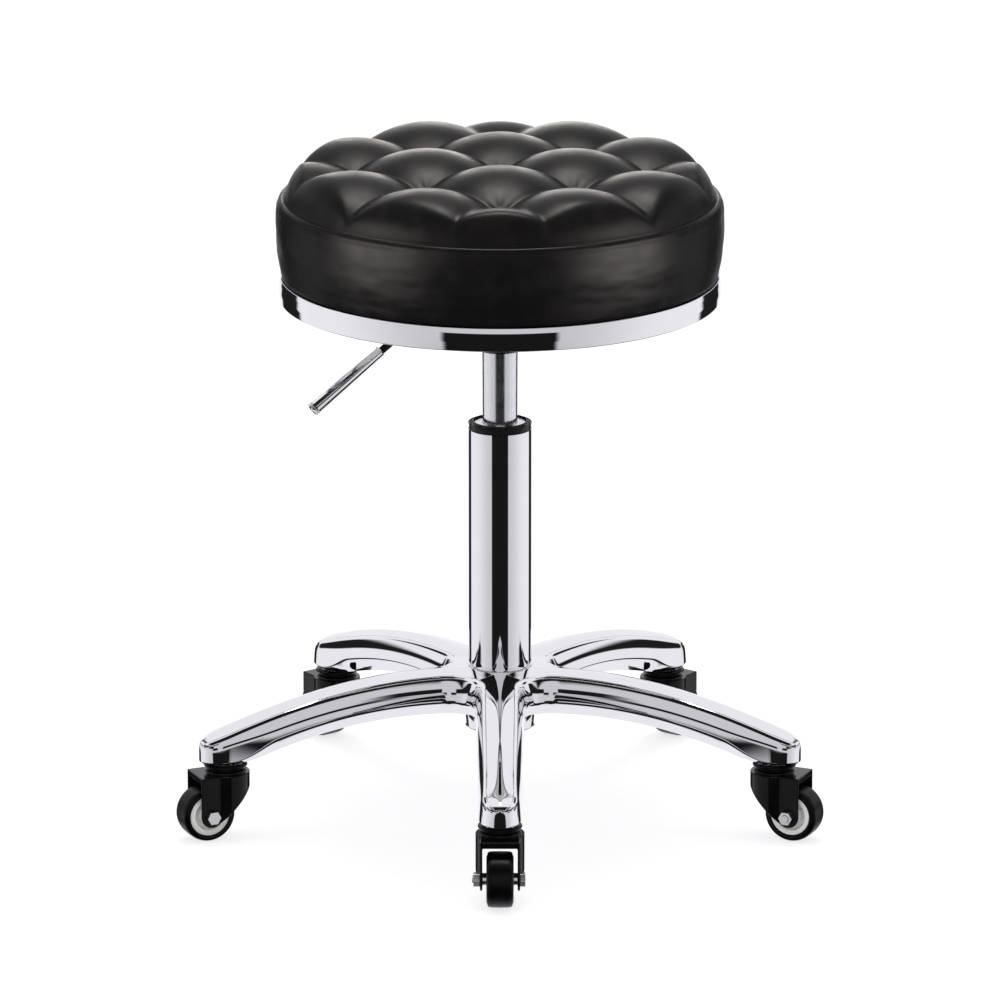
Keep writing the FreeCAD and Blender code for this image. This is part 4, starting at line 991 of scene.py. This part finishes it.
@dataclass
class Lever:
    """The release lever under the seat, and the socket that it sits beside."""

    heading: float = 210.0
    slope: float = 32.7
    segments: int = 64
    grip_ends: Point = (0.8, 0.8)
    cap_ends: Point = (0.3, 1.6)
    arm_edge: float = 0.3
    socket_edge: float = 0.6

    def direction(self) -> Vector:
        """The way the grip points."""
        turn, drop = radians(self.heading), radians(self.slope)
        return Vector((cos(turn) * cos(drop), sin(turn) * cos(drop), -sin(drop)))

    def turned(self, node: str, name: str, ends: Point) -> None:
        """Makes a bright piece turned about the grip's line, as long and as thick as a node.

        Args:
            node: The node that it stands for.
            name: The piece's name.
            ends: The roundings of its near and far ends.
        """
        turn = along(Vector(), self.direction())
        spots = np.array([v.co for v in frame["nodes"][node].data.vertices]) / MM @ np.array(turn.to_3x3())
        low, high = spots.min(axis=0), spots.max(axis=0)
        middle = (low + high) / 2
        radius = (high[0] - low[0]) / 2
        start = turn @ Vector((middle[0], middle[1], low[2]))
        length = high[2] - low[2]
        corners = [(0.0, 0.0), (radius, 0.0, ends[0]), (radius, length, ends[1]), (0.0, length)]
        shape = Shape().add_turned(corners, self.segments, along(start, self.direction()))
        shape.piece(name, GRIP_CHROME, "lever", "chrome", (node,))

    def build(self) -> None:
        """Builds the lever's arm, grip and cap, and the socket."""
        softened("lever_arm", "lever_rod", BLACK_PAINT, self.arm_edge)
        self.turned("lever_grip", "lever_grip_bright", self.grip_ends)
        self.turned("lever_cap", "lever_cap_bright", self.cap_ends)
        softened("taper_socket", "seat_socket", BLACK_PAINT, self.socket_edge)


@dataclass(frozen=True)
class Lamp:
    """A soft square lamp: its place and width in metres, and its power in watts."""

    name: str
    place: Place
    width: float
    power: float

    def build(self) -> bpy.types.Object:
        """Adds the lamp, pointed at the stool's middle.

        Returns:
            The lamp's object.
        """
        data = bpy.data.lights.new(self.name, "AREA")
        data.size = self.width
        data.energy = self.power
        made = stand(self.name, data)
        made.location = self.place
        look(made, Vector(STOOL_MIDDLE))
        return made


def look(made: bpy.types.Object, aim: Vector) -> None:
    """Turns a lamp or a camera towards a point."""
    made.rotation_euler = (aim - made.location).to_track_quat("-Z", "Y").to_euler()


@dataclass
class Studio:
    """The floor, the light and the camera.

    A card is dark to bright metal over a span of turn, from the front to either side, and a span of rise. A span is
    (start, end, softness), in degrees, or as a sine in overhead_reach.
    """

    camera_place: Place = (0.0, -6000.0, 1950.0)
    aim: Place = (0.0, 0.0, 255.0)
    lens: float = 284.6
    sight: float = 200.0
    floor_size: float = 60.0
    floor_tint: Colour = (0.99, 0.985, 1.0)
    floor_glow: float = 0.75
    floor_bounce: Colour = (0.8, 0.8, 0.8)
    floor_shade: Colour = (0.37, 0.37, 0.37)
    ambient: float = 0.85
    ambient_tint: Colour = (1.0, 0.995, 1.0)
    backdrop: Colour = (1.0, 1.0, 1.0)
    key: Lamp = Lamp("key_lamp", (0.0, 0.3, 2.6), 0.9, 26.0)
    cushion_lamps: tuple[Lamp, ...] = (
        Lamp("sheen_lamp", (0.0, 0.6, 2.4), 0.85, 58.0),
        Lamp("left_lamp", (-2.2, -1.1, 0.5), 1.8, 260.0),
        Lamp("right_lamp", (2.2, -1.1, 0.5), 1.8, 260.0),
        Lamp("rim_lamp", (0.0, 2.5, 0.85), 0.9, 9.0),
    )
    warm: Colour = (1.0, 0.94, 0.88)
    cards: tuple[tuple[Span, Span], ...] = (
        ((OPEN, 30.0, 4.0), (OPEN, -6.0, 4.0)),
        ((112.0, 134.0, 4.0), (22.0, 42.0, 4.0)),
        ((130.0, 160.0, 5.0), (-28.0, 5.0, 6.0)),
        ((29.0, 95.0, 4.0), (7.0, 25.0, 3.0)),
        ((9.0, 31.0, 4.0), (1.0, 10.0, 2.0)),
        ((95.0, 126.0, 4.0), (-1.0, 10.0, 3.0)),
        ((OPEN, 122.0, 8.0), (-66.0, -24.0, 5.0)),
    )
    overhead_pitch: Span = (38.0, 84.0, 5.0)
    overhead_reach: Span = (OPEN, 0.775, 0.15)
    card_depth: float = 0.985
    front_grey: tuple[float, ...] = (30.0, 100.0, 0.70, 1.0)
    wall_tint: Colour = (0.965, 0.96, 1.0)

    def build(self) -> None:
        """Builds the whole studio. Only the cushion takes light from the cushion's lamps."""
        self.floor()
        self.world()
        self.key.build()
        only = bpy.data.collections.new("sheen_receivers")
        only.objects.link(bpy.data.objects["seat_cushion"])
        for lamp in self.cushion_lamps:
            made = lamp.build()
            made.data.color = self.warm
            made.light_linking.receiver_collection = only
            made.visible_camera = False
        self.camera()

    def camera(self) -> None:
        """Places the camera at the photograph's viewing angle."""
        data = bpy.data.cameras.new("camera")
        data.lens = self.lens
        data.clip_end = self.sight
        made = stand("camera", data)
        made.location = Vector(self.camera_place) * MM
        look(made, Vector(self.aim) * MM)
        bpy.context.scene.camera = made

    def floor(self) -> None:
        """Lays a white floor that keeps the stool's shadow, and is clear from below."""
        half = self.floor_size / 2
        mesh = bpy.data.meshes.new("floor")
        mesh.from_pydata([(-half, -half, 0), (half, -half, 0), (half, half, 0), (-half, half, 0)], [], [(0, 1, 2, 3)])
        made = stand("floor", mesh)
        made.visible_glossy = False
        paint = bpy.data.materials.new("white_floor")
        paint.use_nodes = True
        tree = paint.node_tree
        nodes = Nodes(tree)
        tree.nodes.remove(tree.nodes["Principled BSDF"])
        seen = nodes.add("LightPath").outputs["Is Camera Ray"]
        glow = nodes.add("Emission", rgba(self.floor_tint), nodes.maths("MULTIPLY", seen, self.floor_glow))
        matt = nodes.add("BsdfDiffuse", nodes.mix(seen, rgba(self.floor_bounce), rgba(self.floor_shade)))
        both = nodes.add("AddShader", glow.outputs[0], matt.outputs[0])
        below = nodes.add("NewGeometry").outputs["Backfacing"]
        clear = nodes.add("BsdfTransparent")
        surface = nodes.add("MixShader", below, both.outputs[0], clear.outputs[0])
        nodes.feed(surface.outputs[0], tree.nodes["Material Output"].inputs["Surface"])
        mesh.materials.append(paint)

    def world(self) -> None:
        """Lights the room evenly, and gives bright metal white walls with dark cards between them."""
        world = bpy.data.worlds.new("studio")
        bpy.context.scene.world = world
        world.use_nodes = True
        tree = world.node_tree
        nodes = Nodes(tree)
        soft = tree.nodes["Background"]
        nodes.wire(soft, {"Color": rgba(self.ambient_tint), "Strength": self.ambient})
        path = nodes.add("LightPath").outputs
        walls = nodes.add("Background", nodes.mix(path["Is Camera Ray"], self.walls(nodes), rgba(self.backdrop)))
        seen = nodes.maths("MAXIMUM", path["Is Glossy Ray"], path["Is Transmission Ray"])
        seen = nodes.maths("MAXIMUM", path["Is Camera Ray"], seen)
        both = nodes.add("MixShader", seen, soft.outputs[0], walls.outputs[0])
        nodes.feed(both.outputs[0], tree.nodes["World Output"].inputs["Surface"])

    def walls(self, nodes: Nodes) -> Socket:
        """Adds the walls that bright metal shows, by direction.

        Args:
            nodes: The world's nodes.

        Returns:
            The colour seen in each direction.
        """
        x, y, z = nodes.add("SeparateXYZ", nodes.add("TexCoord").outputs["Generated"]).outputs
        degree = 180 / pi
        ahead = nodes.maths("MULTIPLY", y, -1.0)
        rise = nodes.maths("MULTIPLY", nodes.maths("ARCSINE", z), degree)
        turn = nodes.maths("MULTIPLY", nodes.maths("ABSOLUTE", nodes.maths("ARCTAN2", x, ahead)), degree)
        pitch = nodes.maths("MULTIPLY", nodes.maths("ARCTAN2", z, ahead), degree)
        dark = nodes.maths("MULTIPLY", nodes.band(pitch, *self.overhead_pitch),
                           nodes.band(nodes.maths("ABSOLUTE", x), *self.overhead_reach))
        for across, up in self.cards:
            card = nodes.maths("MULTIPLY", nodes.band(turn, *across), nodes.band(rise, *up))
            dark = nodes.maths("MAXIMUM", dark, card)
        light = nodes.maths("SUBTRACT", 1.0, nodes.maths("MULTIPLY", dark, self.card_depth))
        tone = nodes.maths("MULTIPLY", nodes.ramp(turn, *self.front_grey), light)
        tints = [nodes.maths("MULTIPLY", tone, share) for share in self.wall_tint]
        return nodes.add("CombineColor", *tints).outputs[0]


def dress_nodes() -> None:
    """Gives every node the finish of its slot."""
    for entry in frame["record"]["subparts"]:
        node = frame["nodes"][entry["node"]]
        paint = SLOT_FINISHES[entry["material_slot"]].material()
        for holder in node.material_slots:
            holder.material = paint
        log.info("node %s dressed in %s", entry["node"], paint.name)


def main() -> None:
    """Builds the stool's looks and its studio."""
    logging.basicConfig(level=logging.INFO)
    bpy.context.scene.view_settings.view_transform = "Standard"
    dress_nodes()
    seat = Seat()
    seat.cushion()
    seat.ring()
    Lift().build()
    StarBase().casting()
    Casters().build()
    Lever().build()
    Studio().build()


if __name__ == "__main__":
    main()
